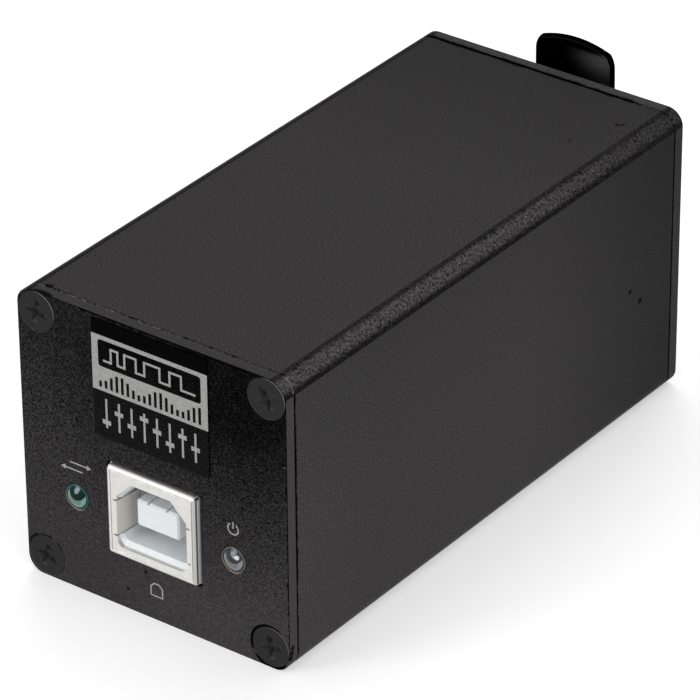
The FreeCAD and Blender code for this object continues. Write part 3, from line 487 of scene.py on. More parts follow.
def make_effects():
    """Builds each shared effect once, as a node group with named values in and out."""
    for build, inputs in (
            (fine_grain, {"Scale": 5000.0, "Contrast": 1.0}),
            (handling, {"Scale": 60.0, "Low": 0.4, "High": 0.5}),
            (spot, {"Centre": (0, 0, 0), "Inner": 0.0, "Outer": 1.0}),
            (long_edge, {"Side": 0.0175, "Top": 0.035, "Radius": 0.002}),
            (seam, {"Place": 0.0347, "Reach": 0.0002, "Top": 0.035}),
            (knocked_edge, {"Face": -0.0362, "Top": 0.035, "Side": 0.0175, "Reach": 0.0003}),
            (lens_glow, {"Centre": (0, 0, 0), "Radius": 0.0015})):
        group = bpy.data.node_groups.new(build.__name__, "ShaderNodeTree")
        for label, value in inputs.items():
            kind = "NodeSocketFloat" if isinstance(value, float) else "NodeSocketVector"
            socket = group.interface.new_socket(label, in_out="INPUT", socket_type=kind)
            socket.default_value = value
        tree = Tree(group)
        given = tree.add("NodeGroupInput").outputs
        results = build(tree, *[Value(tree, given[label]) for label in inputs])
        for label in results:
            group.interface.new_socket(label, in_out="OUTPUT", socket_type="NodeSocketFloat")
        tree.add("NodeGroupOutput", results)
        effects[build.__name__] = group


def give(material, *names):
    """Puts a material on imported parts."""
    for name in names:
        slots = nodes_of[name].data.materials
        slots.clear()
        slots.append(material)


def textured(name, rgb, metallic, rough, scale, contrast, depth, **fixed):
    """A finish of one colour with fine grain, handling patches and a fine bump."""
    tree = Finish(name, Metallic=metallic, **fixed)
    grain = tree.grain(scale, contrast)
    patches = tree.patches(90.0, rough * 0.85, rough * 1.15)
    return tree.done(tree.shade(rgb, grain["Shade"]), patches, grain, depth)


def behind_face(y, low=0.0, high=1.0):
    """A ramp from the front panel's face to just behind it."""
    return y.ramp(front_face + 0.02 * MM, front_face + 0.06 * MM, low, high)


def near_top(z, low=0.0, high=1.0):
    """A ramp over the last of the case's height."""
    return z.ramp(case_top - 1.4 * MM, case_top - 0.2 * MM, low, high)


def anodised(name, colours, level, grain_scale, contrast, specks, front=False):
    """Black anodised, blasted aluminium: level adds the nodes of a painted shade and returns its
    share.
    """
    tree = Finish(name, Metallic=1.0, Specular_Tint=(0.55, 0.55, 0.55, 1.0))
    x, y, z = tree.axes()
    if front:
        contrast = z.line(4 * MM, 24 * MM, 0.3 * contrast, contrast) * behind_face(y, 1.0, 0.35)
    else:
        contrast = z.line(case_top - 0.4 * MM, case_top - 0.1 * MM, contrast, 1.55 * contrast)
    grain = tree.grain(grain_scale, contrast)
    coarse = tree.grain(3800.0, 3.4 if front else 5.0)["Shade"]
    # The painted shade mixes the dark and the light colour of the case
    body = tree.shade(tree.mix(level(tree), colours.dark, colours.light), grain["Shade"])
    body = tree.mix(grain["Specks"] * specks, body, colours.light, "ADD")
    # The rounded upper edges: a painted highlight on their crests, fading to the rear, and painted
    # shade on their flanks
    edge = tree.effect("long_edge", Side=case_side, Top=case_top, Radius=CORNER_RADIUS)["Turn"]
    crest = tree.mix(y.ramp(0.0, 34 * MM), scaled(colours.light, 0.99),
                     scaled(colours.light, 0.58))
    flank = tree.shade(scaled(colours.light, 0.19), coarse)
    turned = tree.mix(edge.ramp(0.45, 0.98), flank, tree.shade(crest, coarse))
    body = tree.mix(edge.ramp(0.0, 0.12), body, turned)
    for spots, strength, paint in ((MARKS, 0.92, colours.seam), (SCRAPES, 0.3, colours.silver)):
        for *place, size in spots:
            mask = tree.spot(Vector(place) * MM, size / 2, size)
            body = tree.mix(mask * strength, body, paint)
    if front:
        knock = tree.effect("knocked_edge", Face=front_face, Top=case_top, Side=case_side,
                            Reach=0.26 * MM)["Mask"]
        # The knocked edge, and the painted shade round the lower screws
        body = tree.layers(body, (knock.most(screw_rings(tree)), colours.seam),
                           (lamp_cuts(tree), colours.cut))
    # Painted shade in the groove, and bare metal worn at its front edge
    joint = tree.effect("seam", Place=seam_place, Reach=SEAM_REACH, Top=case_top)
    body = tree.layers(body, (joint["Groove"], colours.seam), (joint["Worn"] * 0.45, colours.bare))
    return tree.done(body, tree.patches(70.0, 0.44, 0.48), grain, 0.012, 0.6)


def tube_level(tree):
    """Painted shade: the sides are lightest low at the front, and the top is even; both fall off to
    the rear.
    """
    x, y, z = tree.axes()
    near = y.line(-seam_place, -0.6 * seam_place, 1.12, 1.0)
    side = y.ramp(2 * MM, 40 * MM, 0.87, 0.44) * near * z.line(0.5 * case_top, case_top, 1.0, 0.85)
    top = y.ramp(2 * MM, 40 * MM, 0.50, 0.38)
    high = near_top(z)
    return side * (1.0 - high) + top * high


def front_level(tree):
    """Painted reflection and shade: the panel darkens towards its upper right corner, and less
    towards its upper left.
    """
    x, y, z = tree.axes()
    away = tree.distance((11 * MM, front_face, 33 * MM)).line(6.2 * MM, 28.5 * MM, 0.02, 0.79)
    right = x.ramp(-9 * MM, 5 * MM)
    face = away * (z.line(8 * MM, 30 * MM, 0.80, 0.36) * (1.0 - right) + right)
    # Painted shade on the panel's edge faces behind its face, darker along the top
    behind, strip = behind_face(y), near_top(z, 1.0, 0.53)
    return face * (1.0 - behind) + strip * behind


def rear_level(tree):
    """The rear panel has one nearly even level."""
    return tree.axes()[2].line(0.0, case_top, 0.78, 0.65)


def lamp_cuts(tree):
    """The thin cut edges of the two lamp holes, clearest below."""
    x, y, z = tree.axes()
    masks = []
    for lamp in (data_lamp, power_lamp):
        rim = tree.spot((lamp.x, front_face, lamp.z), *LAMP_CUT, "Rim")
        tilted = (z - lamp.z) + (x - lamp.x) * 0.4
        masks.append(rim * tilted.ramp(-1.5 * MM, 0.2 * MM, 1.0, 0.06))
    return tree.math("ADD", *masks, clamp=True)


def screw_rings(tree):
    """Ragged painted shade in the gap round the upper left of the two lower screws, and under the
    right one.
    """
    x, y, z = tree.axes()
    noise = tree.noise(1500.0)
    masks = []
    for side, strength in ((1, 1.0), (-1, 0.8)):
        middle = side * (case_side - SCREW_INSET)
        ring = tree.spot((middle, front_face, SCREW_INSET), *SCREW_SHADE_RING, "Rim")
        tilted = (z - SCREW_INSET) - (x - middle) * (0.5 + 0.4 * side)
        patchy = noise.ramp(0.28 - 0.06 * side, 0.40 - 0.06 * side)
        upper = tilted.ramp(0.2 * MM, 1.6 * MM, 0.0, strength)
        lower = z.ramp(0.7 * MM, 1.2 * MM, max(side, 0), 0.0)
        masks.append(ring * patchy * upper.most(lower))
    return tree.math("ADD", *masks, clamp=True)


def screw_material(name, colours, face):
    """Blackened steel: dull heads with a soft cross, and a painted highlight on the rim up on the
    right.
    """
    tree = Finish(name, Specular_Tint=(0.6, 0.6, 0.6, 1.0))
    grain = tree.grain(7000.0, 0.6)
    x, y, z = tree.axes()
    across = abs(x) - (case_side - SCREW_INSET)
    level = z - case_top / 2
    upward = abs(level) - (case_top / 2 - SCREW_INSET)
    # A painted highlight in the silver colour on the rim, up on the right
    rim = apart(tree, across, upward).ramp(2.24 * MM, 2.34 * MM)
    tilted = across * x.sign() + upward * level.sign()
    right = (tilted.ramp(1.5 * MM, 3.2 * MM, 0.0, 0.8)
             * level.sign().most(x.line(-5 * MM, 5 * MM, 0.15, 0.8)))
    pit = abs(y - face).ramp(0.06 * MM, 0.18 * MM)
    body = tree.layers(tree.shade(scaled(colours.screw, 1.08), grain["Shade"]),
                       (rim * (right * grain["Shade"]), colours.silver),
                       (pit, scaled(colours.screw, 1.2)))
    rough = tree.patches(300.0, 0.42, 0.50).most(pit)
    return tree.done(body, rough, grain, 0.008, 0.5, Metallic=1.0 - pit)


def latch_material(colours):
    """Glossy black tab, with a painted highlight on the right of its face."""
    tree = Finish("latch_black", Metallic=1.0, Specular_Tint=(0.12, 0.12, 0.12, 1.0))
    grain = tree.grain(3600.0, 1.2)
    x, y, z = tree.axes()
    centre = (lever_high.x - 0.9 * MM, lever_high.y - 1.0 * MM, case_top - 0.3 * MM)
    facing = (tree.split(tree.place("Normal"))[1] * -1.0).ramp(0.93, 0.98)
    below = z.ramp(lever_high.z - 1.3 * MM, lever_high.z - 0.6 * MM, 1.0, 0.0)
    # A painted highlight on the right of the tab's face
    mask = tree.spot(centre, 0.6, 6.4) * facing * below
    body = tree.shade(tree.mix(mask, colours.latch, colours.sheen), grain["Shade"])
    return tree.done(body, mask.line(0.0, 1.0, 0.28, 0.5), grain, 0.004, 0.4)


def shell_material(colours):
    """Nickel plate with painted shade in the gaps where its folds meet, creased where it turns to
    the right.
    """
    tree = Finish("socket_nickel")
    grain = tree.grain(1400.0, 0.25)
    x, y, z = tree.axes()
    turn = tree.split(tree.place("Normal"))[0]
    facing = turn.ramp(0.84, 0.94)
    outside = x > socket_high.x - 0.7 * MM
    fold_reflection_mask = x.ramp(socket_high.x - 0.85 * MM, socket_high.x - 0.25 * MM)
    fold_reflection_mask = fold_reflection_mask * turn.ramp(0.3, 0.7, 0.75, 0.0)
    crease = turn.ramp(0.45, 0.7) * turn.ramp(0.84, 0.94, 1.0, 0.0) * outside
    # Painted reflection beside the crease, painted shade in it, painted light on the right side and
    # on the inner left wall
    side, inner = facing * outside, facing * (x < 0.0)
    body = tree.layers(tree.shade(colours.nickel, grain["Shade"]), (fold_reflection_mask, colours.fold),
                       (crease, colours.shadow), (side, colours.strip), (inner, colours.tongue))
    middle = (socket_low + socket_high) / 2
    middle.y = socket_low.y
    # Painted shade in the gaps at three corners where the folds meet
    for right, up, size in ((socket_low.x, socket_high.z, 0.22), (socket_low.x, socket_low.z, 0.22),
                            (socket_high.x, socket_low.z, 0.34)):
        corner = Vector((right, socket_low.y, up))
        corner += (middle - corner).normalized() * 0.30 * MM
        body = tree.mix(tree.spot(corner, 0.7 * size, size), body, colours.latch)
    return tree.done(body, tree.patches(90.0, 0.27, 0.37), grain, 0.004,
                     Metallic=side.most(inner).line(0.0, 1.0, 0.8, 0.0))


def insulator_material(colours):
    """White moulding, with painted light making the bottom of its well paler than its tongue."""
    tree = Finish("socket_white", Specular_IOR_Level=0.35)
    grain = tree.grain(1800.0, 0.12)
    middle = (socket_low.z + socket_high.z) / 2
    # Painted light low in the well
    deep = tree.axes()[2].ramp(middle - 2.4 * MM, middle - 1.4 * MM, 1.0, 0.0)
    body = tree.shade(tree.mix(deep, colours.white, colours.well), grain["Shade"])
    return tree.done(body, tree.patches(90.0, 0.36, 0.48), grain, 0.004)


def lens_material(name, colours, shades, lamp, glint):
    """Cast lamp lens with painted reflections: a pale crescent low in it, a darker upper part, a
    glint and a light rim.
    """
    plain, pale, deep, rim = shades
    tree = Finish(name, Transmission_Weight=0.08, IOR=1.5, Specular_IOR_Level=0.07)
    grain = tree.grain(900.0, 0.5)
    glow = tree.effect("lens_glow", Centre=(lamp.x, front_face, lamp.z), Radius=LENS_RADIUS)
    sparks = [tree.spot((lamp.x + right * MM, front_face, lamp.z + 0.56 * MM), 0.38, 0.45)
              for right in (0.24, 0.40, 0.56)]
    spark = sparks[0].most(sparks[1].most(sparks[2]))
    low, high = [
        tree.spot((lamp.x + right * MM, front_face - 0.3 * MM, lamp.z + up * MM), 0.22, 0.34)
        for right, up in ((0.14, 0.88), (0.30, 1.18))]
    # Painted reflections and highlights: the dark upper part, the crescent, the glints, the
    # mirrored sky and the rim
    body = tree.layers(plain, (glow["Upper"], deep), (glow["Crescent"], pale),
                       (spark * glint, colours.glint), (low.most(high) * 0.9, colours.window),
                       (glow["Rim"] * 0.6, rim))
    return tree.done(tree.shade(body, grain["Shade"]), tree.patches(400.0, 0.03, 0.09), grain,
                     0.001, 0.2)


def ink_material(name, rgb, metallic, rough, contrast=1.4, foot_scale=1.0):
    """Printed ink with a broken, grainy surface, whose colour may be scaled towards the sticker's
    foot.
    """
    tree = Finish(name, Metallic=metallic, Specular_IOR_Level=0.08,
                  Specular_Tint=(0.5, 0.5, 0.5, 1.0))
    grain = tree.grain(6500.0, contrast)
    foot = tree.axes()[2].line(label_low.z + 3 * MM, label_high.z - MM, 1.0, 0.0)
    body = tree.shade(tree.mix(foot, rgb, scaled(rgb, foot_scale)), grain["Shade"])
    return tree.done(body, tree.patches(500.0, rough * 0.8, rough * 1.2), grain, 0.01, 0.4)


def deselect():
    """Nothing is selected, and no mesh is being edited."""
    if bpy.context.object and bpy.context.object.mode != "OBJECT":
        bpy.ops.object.mode_set(mode="OBJECT")
    bpy.ops.object.select_all(action="DESELECT")


def choose(*pieces):
    """Only these pieces are selected, and the first is the active one."""
    deselect()
    for piece in pieces:
        piece.select_set(True)
    bpy.context.view_layer.objects.active = pieces[0]


def named(piece, name):
    """A piece whose mesh has its name too."""
    piece.name = name
    piece.data.name = name
    return piece


def started(name):
    """Names the new primitive and opens it for editing."""
    piece = named(bpy.context.object, name)
    bpy.ops.object.mode_set(mode="EDIT")
    return piece


def pick(piece, test, kind="faces"):
    """Selects the faces, edges or corners of the edited piece whose middle passes a test."""
    modes = {"faces": "FACE", "edges": "EDGE", "verts": "VERT"}
    bpy.ops.mesh.select_mode(type=modes[kind])
    bpy.ops.mesh.select_all(action="DESELECT")
    mesh = bmesh.from_edit_mesh(piece.data)
    for item in getattr(mesh, kind):
        corners = [item] if kind == "verts" else item.verts
        middle = sum((corner.co for corner in corners), Vector()) / len(corners)
        item.select_set(bool(test(piece.matrix_world @ middle)))
    bmesh.update_edit_mesh(piece.data)


def everything(kind="FACE"):
    """Selects all of the edited piece."""
    bpy.ops.mesh.select_mode(type=kind)
    bpy.ops.mesh.select_all(action="SELECT")


def outward():
    """Turns all faces of the edited piece outwards."""
    bpy.ops.mesh.select_all(action="SELECT")
    bpy.ops.mesh.normals_make_consistent(inside=False)


def extrude_edge(step):
    """Draws the selected edge out by a step."""
    bpy.ops.mesh.extrude_edges_move(TRANSFORM_OT_translate={"value": step})


def extrude_back(step):
    """Draws the selected faces out towards the rear."""
    bpy.ops.mesh.extrude_region_move(TRANSFORM_OT_translate={"value": (0, step, 0)})


def raise_print(thickness):
    """Gives the whole flat print its thickness, towards the front, and closes it."""
    everything()
    extrude_back(-thickness)
    bpy.ops.mesh.select_all(action="SELECT")
    bpy.ops.mesh.remove_doubles(threshold=0.001 * MM)
    bpy.ops.mesh.normals_make_consistent(inside=False)


def flat_square(name, place, side):
    """A square that faces the front, opened for editing."""
    deselect()
    bpy.ops.mesh.primitive_plane_add(size=side, location=place, rotation=TO_THE_FRONT)
    return started(name)


def flat_ring(name, place, radius, sides):
    """A circle that faces the front, opened for editing."""
    deselect()
    bpy.ops.mesh.primitive_circle_add(vertices=sides, radius=radius, location=place,
                                      rotation=TO_THE_FRONT)
    return started(name)


def rod(name, place, radius, depth, sides):
    """A cylinder that points to the rear, opened for editing."""
    deselect()
    bpy.ops.mesh.primitive_cylinder_add(vertices=sides, radius=radius * MM, depth=depth * MM,
                                        location=place, rotation=TO_THE_FRONT)
    return started(name)


def bar(name, low, high, y):
    """A flat bar between two places on the front."""
    centre = ((low[0] + high[0]) / 2, y, (low[1] + high[1]) / 2)
    piece = flat_square(name, centre, 1.0)
    bpy.ops.mesh.select_all(action="SELECT")
    bpy.ops.transform.resize(value=(high[0] - low[0], 1.0, high[1] - low[1]))
    return piece


def walked_line(name, corners, stroke, y):
    """A line of one width along square corners: its end is extruded from each to the next."""
    start = corners[0]
    piece = flat_square(name, (start[0], y, start[1]), stroke)
    for here, there in zip(corners, corners[1:]):
        run = Vector((there[0] - here[0], 0, there[1] - here[1]))
        way = run.normalized()
        edge = Vector((here[0], y, here[1])) + way * (stroke / 2)
        pick(piece, lambda middle, edge=edge: (middle - edge).length < 0.01 * stroke, "edges")
        extrude_edge(way * (run.length - stroke))
        extrude_edge(way * stroke)
    return piece


def settled(piece, material, body):
    """Closes a piece: its place goes into its mesh, and it rides on a body."""
    choose(piece)
    bpy.ops.object.transform_apply(location=True, rotation=True, scale=True)
    piece.data.materials.clear()
    piece.data.materials.append(material)
    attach(piece, body)
    return piece


def copied(piece, step):
    """A copy of a piece with its own mesh, moved by a step."""
    choose(piece)
    bpy.ops.object.duplicate_move(TRANSFORM_OT_translate={"value": step})
    return bpy.context.object


def joined(name, pieces):
    """Several pieces as one."""
    choose(*pieces)
    bpy.ops.object.join()
    return named(pieces[0], name)


class INTERFACE_OT_stage(bpy.types.Operator):
    """Adds the floor, the light and the camera"""
    bl_idname = "interface.stage"
    bl_label = "Stage"

    def execute(self, context):
        settings = context.scene.interface_stage
        self.floor(settings)
        self.world(context.scene, settings)
        self.lamps(context.scene)
        self.camera(context.scene, settings)
        context.scene.view_settings.view_transform = "Standard"
        return {"FINISHED"}

    def floor(self, settings):
        """A wide plain floor that looks white and keeps the object's shadow."""
        deselect()
        bpy.ops.mesh.primitive_plane_add(size=settings.floor_size)
        floor = started("floor")
        bpy.ops.mesh.subdivide(number_cuts=3)
        bpy.ops.object.mode_set(mode="OBJECT")
        material = bpy.data.materials.new("floor_paint")
        tree = Tree(emptied(material))
        path = tree.add("LightPath").outputs
        out = tree.value("Value", "VectorMath", {0: tree.place()}, operation="LENGTH")
        strength = out.line(*LAMPS_REACH, settings.floor_glow, settings.floor_glow_far)
        plain = tree.value(0, "BsdfDiffuse", {"Color": four(settings.floor_colour)})
        glow = tree.value(0, "Emission", {"Color": WHITE, "Strength": strength})
        white = tree.value(0, "Emission", {"Color": WHITE, "Strength": 1.0})
        seen = tree.value(0, "AddShader", {0: plain, 1: glow})
        camera = tree.value(0, "MixShader", {0: path["Is Camera Ray"], 1: plain, 2: seen})
        shiny = tree.math("MAXIMUM", path["Is Glossy Ray"], path["Is Transmission Ray"])
        shown = tree.value(0, "MixShader", {0: shiny, 1: camera, 2: white})
        tree.add("OutputMaterial", {"Surface": shown})
        floor.data.materials.append(material)

    def world(self, scene, settings):
        """Even light from all round, and white wherever it is seen or mirrored."""
        world = bpy.data.worlds.new("studio")
        tree = Tree(emptied(world))
        path = tree.add("LightPath").outputs
        shiny = tree.math("MAXIMUM", path["Is Glossy Ray"], path["Is Transmission Ray"])
        strength = shiny.most(path["Is Camera Ray"]).line(0.0, 1.0, settings.sky, 1.0)
        sky = tree.value(0, "Background", {"Color": WHITE, "Strength": strength})
        tree.add("OutputWorld", {"Surface": sky})
        scene.world = world

    def lamps(self, scene):
        """Large soft lamps above, to the right and in front."""
        for name, place, size, power in (
                ("lamp_above", (-0.25, 0.45, 0.85), 0.6, 2.4),
                ("lamp_right", (0.75, -0.25, 0.45), 0.5, 2.0),
                ("lamp_front", (-0.46, -0.76, 0.25), 0.32, 2.8)):
            data = bpy.data.lights.new(name, "AREA")
            data.shape = "SQUARE"
            data.size = size
            data.energy = power
            lamp = bpy.data.objects.new(name, data)
            scene.collection.objects.link(lamp)
            lamp.location = place
            aim = Vector((0, 0, case_top / 2)) - lamp.location
            lamp.rotation_euler = aim.to_track_quat("-Z", "Y").to_euler()

    def camera(self, scene, settings):
        """The camera at the photograph's angle."""
        azimuth, elevation = settings.azimuth, settings.elevation
        back = Vector((math.sin(azimuth) * math.cos(elevation),
                       -math.cos(azimuth) * math.cos(elevation), math.sin(elevation)))
        right = Vector((0, 0, 1)).cross(back).normalized()
        up = back.cross(right)
        cosine, sine = math.cos(settings.roll), math.sin(settings.roll)
        turned = Matrix((right * cosine + up * sine, up * cosine - right * sine, back)).transposed()
        data = bpy.data.cameras.new("camera")
        data.lens = settings.lens
        data.sensor_width = 36
        data.clip_start, data.clip_end = 0.01, 20
        camera = bpy.data.objects.new("camera", data)
        scene.collection.objects.link(camera)
        place = Vector(settings.target) + back * settings.distance
        camera.matrix_world = Matrix.Translation(place) @ turned.to_4x4()
        scene.camera = camera


class INTERFACE_OT_case(bpy.types.Operator):
    """Finishes the tube and its two panels"""
    bl_idname = "interface.case"
    bl_label = "Case finish"

    def execute(self, context):
        colours = context.scene.interface_case
        give(anodised("tube_anodised", colours, tube_level, 6000.0, 3.8, 0.05), "housing_tube")
        give(anodised("front_anodised", colours, front_level, 7200.0, 7.8, 0.30, True),
             "front_panel")
        give(anodised("rear_anodised", colours, rear_level, 5200.0, 2.8, 0.2), "rear_panel")
        return {"FINISHED"}


class INTERFACE_OT_screws(bpy.types.Operator):
    """Finishes the screws of both panels and of the round socket"""
    bl_idname = "interface.screws"
    bl_label = "Screw finish"

    def execute(self, context):
        colours = context.scene.interface_case
        give(screw_material("front_screw_black", colours, front_face), "front_panel_screws")
        give(screw_material("rear_screw_black", colours, -front_face), "rear_panel_screws")
        give(textured("socket_screw_black", colours.screw, 0.8, 0.4, 6000.0, 0.8, 0.006),
             "xlr_screws")
        return {"FINISHED"}


class INTERFACE_OT_usb_socket(bpy.types.Operator):
    """Finishes the square socket: shell, insulator and contacts"""
    bl_idname = "interface.usb_socket"
    bl_label = "Square socket finish"

    def execute(self, context):
        colours = context.scene.interface_sockets
        give(shell_material(colours), "usb_shell")
        give(insulator_material(colours), "usb_insulator")
        give(textured("contact_plated", colours.contact, 1.0, 0.3, 2500.0, 0.3, 0.002),
             "usb_contacts")
        return {"FINISHED"}


class INTERFACE_OT_lamps(bpy.types.Operator):
    """Finishes the lamps, and adds the cup and post inside each lens"""
    bl_idname = "interface.lamps"
    bl_label = "Lamps"

    def execute(self, context):
        colours = context.scene.interface_sockets
        green = colours.green_lens, colours.green_pale, colours.green_deep, colours.green_rim
        clear = colours.clear_lens, colours.clear_pale, colours.clear_deep, colours.clear_rim
        give(lens_material("lens_green", colours, green, data_lamp, 0.0), "data_led_lens")
        give(lens_material("lens_clear", colours, clear, power_lamp, 0.9), "power_led_lens")
        lead = textured("lead_tinned", colours.tin, 0.9, 0.35, 3000.0, 0.4, 0.003)
        give(lead, "data_led_leads", "power_led_leads")
        first = self.core("data_lamp_core", data_lamp)
        second = named(copied(first, power_lamp - data_lamp), "power_lamp_core")
        for core in (first, second):
            settled(core, lead, "case")
        return {"FINISHED"}

    def core(self, name, lamp):
        """The dished cup on its post, and the second post beside it."""
        tip = data_low.y + 2.6 * MM
        cup = rod(name, (lamp.x - 0.25 * MM, tip, lamp.z), 0.62, 0.5, 24)
        pick(cup, lambda middle: middle.y < tip - 0.24 * MM)
        bpy.ops.mesh.inset(thickness=0.14 * MM)
        extrude_back(0.28 * MM)
        bpy.ops.transform.resize(value=(0.55, 1.0, 0.55))
        pick(cup, lambda middle: middle.y > tip + 0.24 * MM)
        bpy.ops.mesh.inset(thickness=0.3 * MM)
        extrude_back(2.2 * MM)
        outward()
        post = rod(name + "_post", (lamp.x + 0.85 * MM, tip + 1.2 * MM, lamp.z), 0.22, 2.4, 16)
        pick(post, lambda middle: middle.y < tip + 0.01 * MM)
        bpy.ops.mesh.inset(thickness=0.08 * MM)
        extrude_back(-0.1 * MM)
        return joined(name, [cup, post])


class INTERFACE_OT_board(bpy.types.Operator):
    """Finishes the circuit board and the parts on it"""
    bl_idname = "interface.board"
    bl_label = "Board finish"

    def execute(self, context):
        board, tin = context.scene.interface_board, context.scene.interface_sockets.tin
        for name, rgb, metallic, rough, scale, contrast, depth, *parts in (
                ("board_green", board.board, 0.0, 0.32, 400.0, 0.6, 0.01, "circuit_board"),
                ("chip_black", board.chip, 0.0, 0.5, 5000.0, 0.8, 0.01, "usb_bridge_chip",
                 "microcontroller_chip", "line_driver_chip", "capacitor_base"),
                ("leg_tinned", tin, 0.95, 0.32, 3000.0, 0.4, 0.003, "usb_bridge_legs",
                 "microcontroller_legs", "line_driver_legs"),
                ("can_bare", board.can, 0.95, 0.3, 800.0, 0.3, 0.004, "electrolytic_capacitor"),
                ("crystal_steel", board.crystal, 0.95, 0.28, 1200.0, 0.3, 0.004, "crystal_can"),
                ("resistor_black", board.resistor, 0.0, 0.4, 4000.0, 0.6, 0.006, "chip_resistors"),
                ("ceramic_tan", board.ceramic, 0.0, 0.45, 4000.0, 0.6, 0.006, "ceramic_capacitors"),
                ("fuse_green", board.fuse, 0.0, 0.4, 2500.0, 0.6, 0.006, "resettable_fuse")):
            give(textured(name, rgb, metallic, rough, scale, contrast, depth), *parts)
        return {"FINISHED"}


class INTERFACE_OT_round_socket(bpy.types.Operator):
    """Finishes the round socket: moulded body, contact carrier and sleeves"""
    bl_idname = "interface.round_socket"
    bl_label = "Round socket finish"

    def execute(self, context):
        colours = context.scene.interface_sockets
        give(textured("round_socket_black", colours.moulding, 0.0, 0.42, 3200.0, 0.8, 0.012,
                      Specular_IOR_Level=0.4), "xlr_housing")
        give(textured("carrier_black", colours.carrier, 0.0, 0.36, 3800.0, 0.6, 0.008,
                      Specular_IOR_Level=0.4), "xlr_insert")
        give(textured("sleeve_silver", colours.sleeve, 1.0, 0.26, 2200.0, 0.3, 0.002),
             "xlr_contacts")
        return {"FINISHED"}


class INTERFACE_OT_latch(bpy.types.Operator):
    """Finishes the latch lever, its pin and its spring"""
    bl_idname = "interface.latch"
    bl_label = "Latch finish"

    def execute(self, context):
        colours = context.scene.interface_sockets
        give(latch_material(colours), "latch_lever")
        steel = textured("pin_steel", colours.steel, 1.0, 0.3, 2500.0, 0.4, 0.003)
        give(steel, "latch_pivot_pin", "latch_spring")
        coil = settled(self.coil(), steel, "case")
        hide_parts("latch_spring")
        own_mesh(coil)
        return {"FINISHED"}

    def middle(self):
        """The middle of the spring's foot."""
        return Vector((0, (spring_low.y + spring_high.y) / 2, spring_low.z))

    def coil(self):
        """The spring under the lever's tail: a round wire wound upwards, its ends closed."""
        start = self.middle() + Vector((0, 0, WIRE_RADIUS))
        coil = flat_ring("latch_coil", start, WIRE_RADIUS, 10)
        bpy.ops.object.mode_set(mode="OBJECT")
        bpy.ops.object.transform_apply(location=False, rotation=True, scale=False)
        bpy.ops.object.mode_set(mode="EDIT")
        bpy.ops.mesh.select_all(action="SELECT")
        radius = (spring_high.x - spring_low.x) / 2 - WIRE_RADIUS
        bpy.ops.transform.translate(value=(radius, 0, 0))
        bpy.ops.object.mode_set(mode="OBJECT")
        winding = coil.modifiers.new("winding", "SCREW")
        winding.axis = "Z"
        winding.angle = 2 * math.pi
        winding.iterations = COIL_TURNS
        winding.screw_offset = (spring_high.z - spring_low.z - 2 * WIRE_RADIUS) / COIL_TURNS
        winding.steps = winding.render_steps = 28
        winding.use_merge_vertices = False
        bpy.ops.object.modifier_apply(modifier=winding.name)
        bpy.ops.object.mode_set(mode="EDIT")
        bpy.ops.mesh.select_all(action="SELECT")
        bpy.ops.mesh.fill_holes(sides=0)
        outward()
        return coil


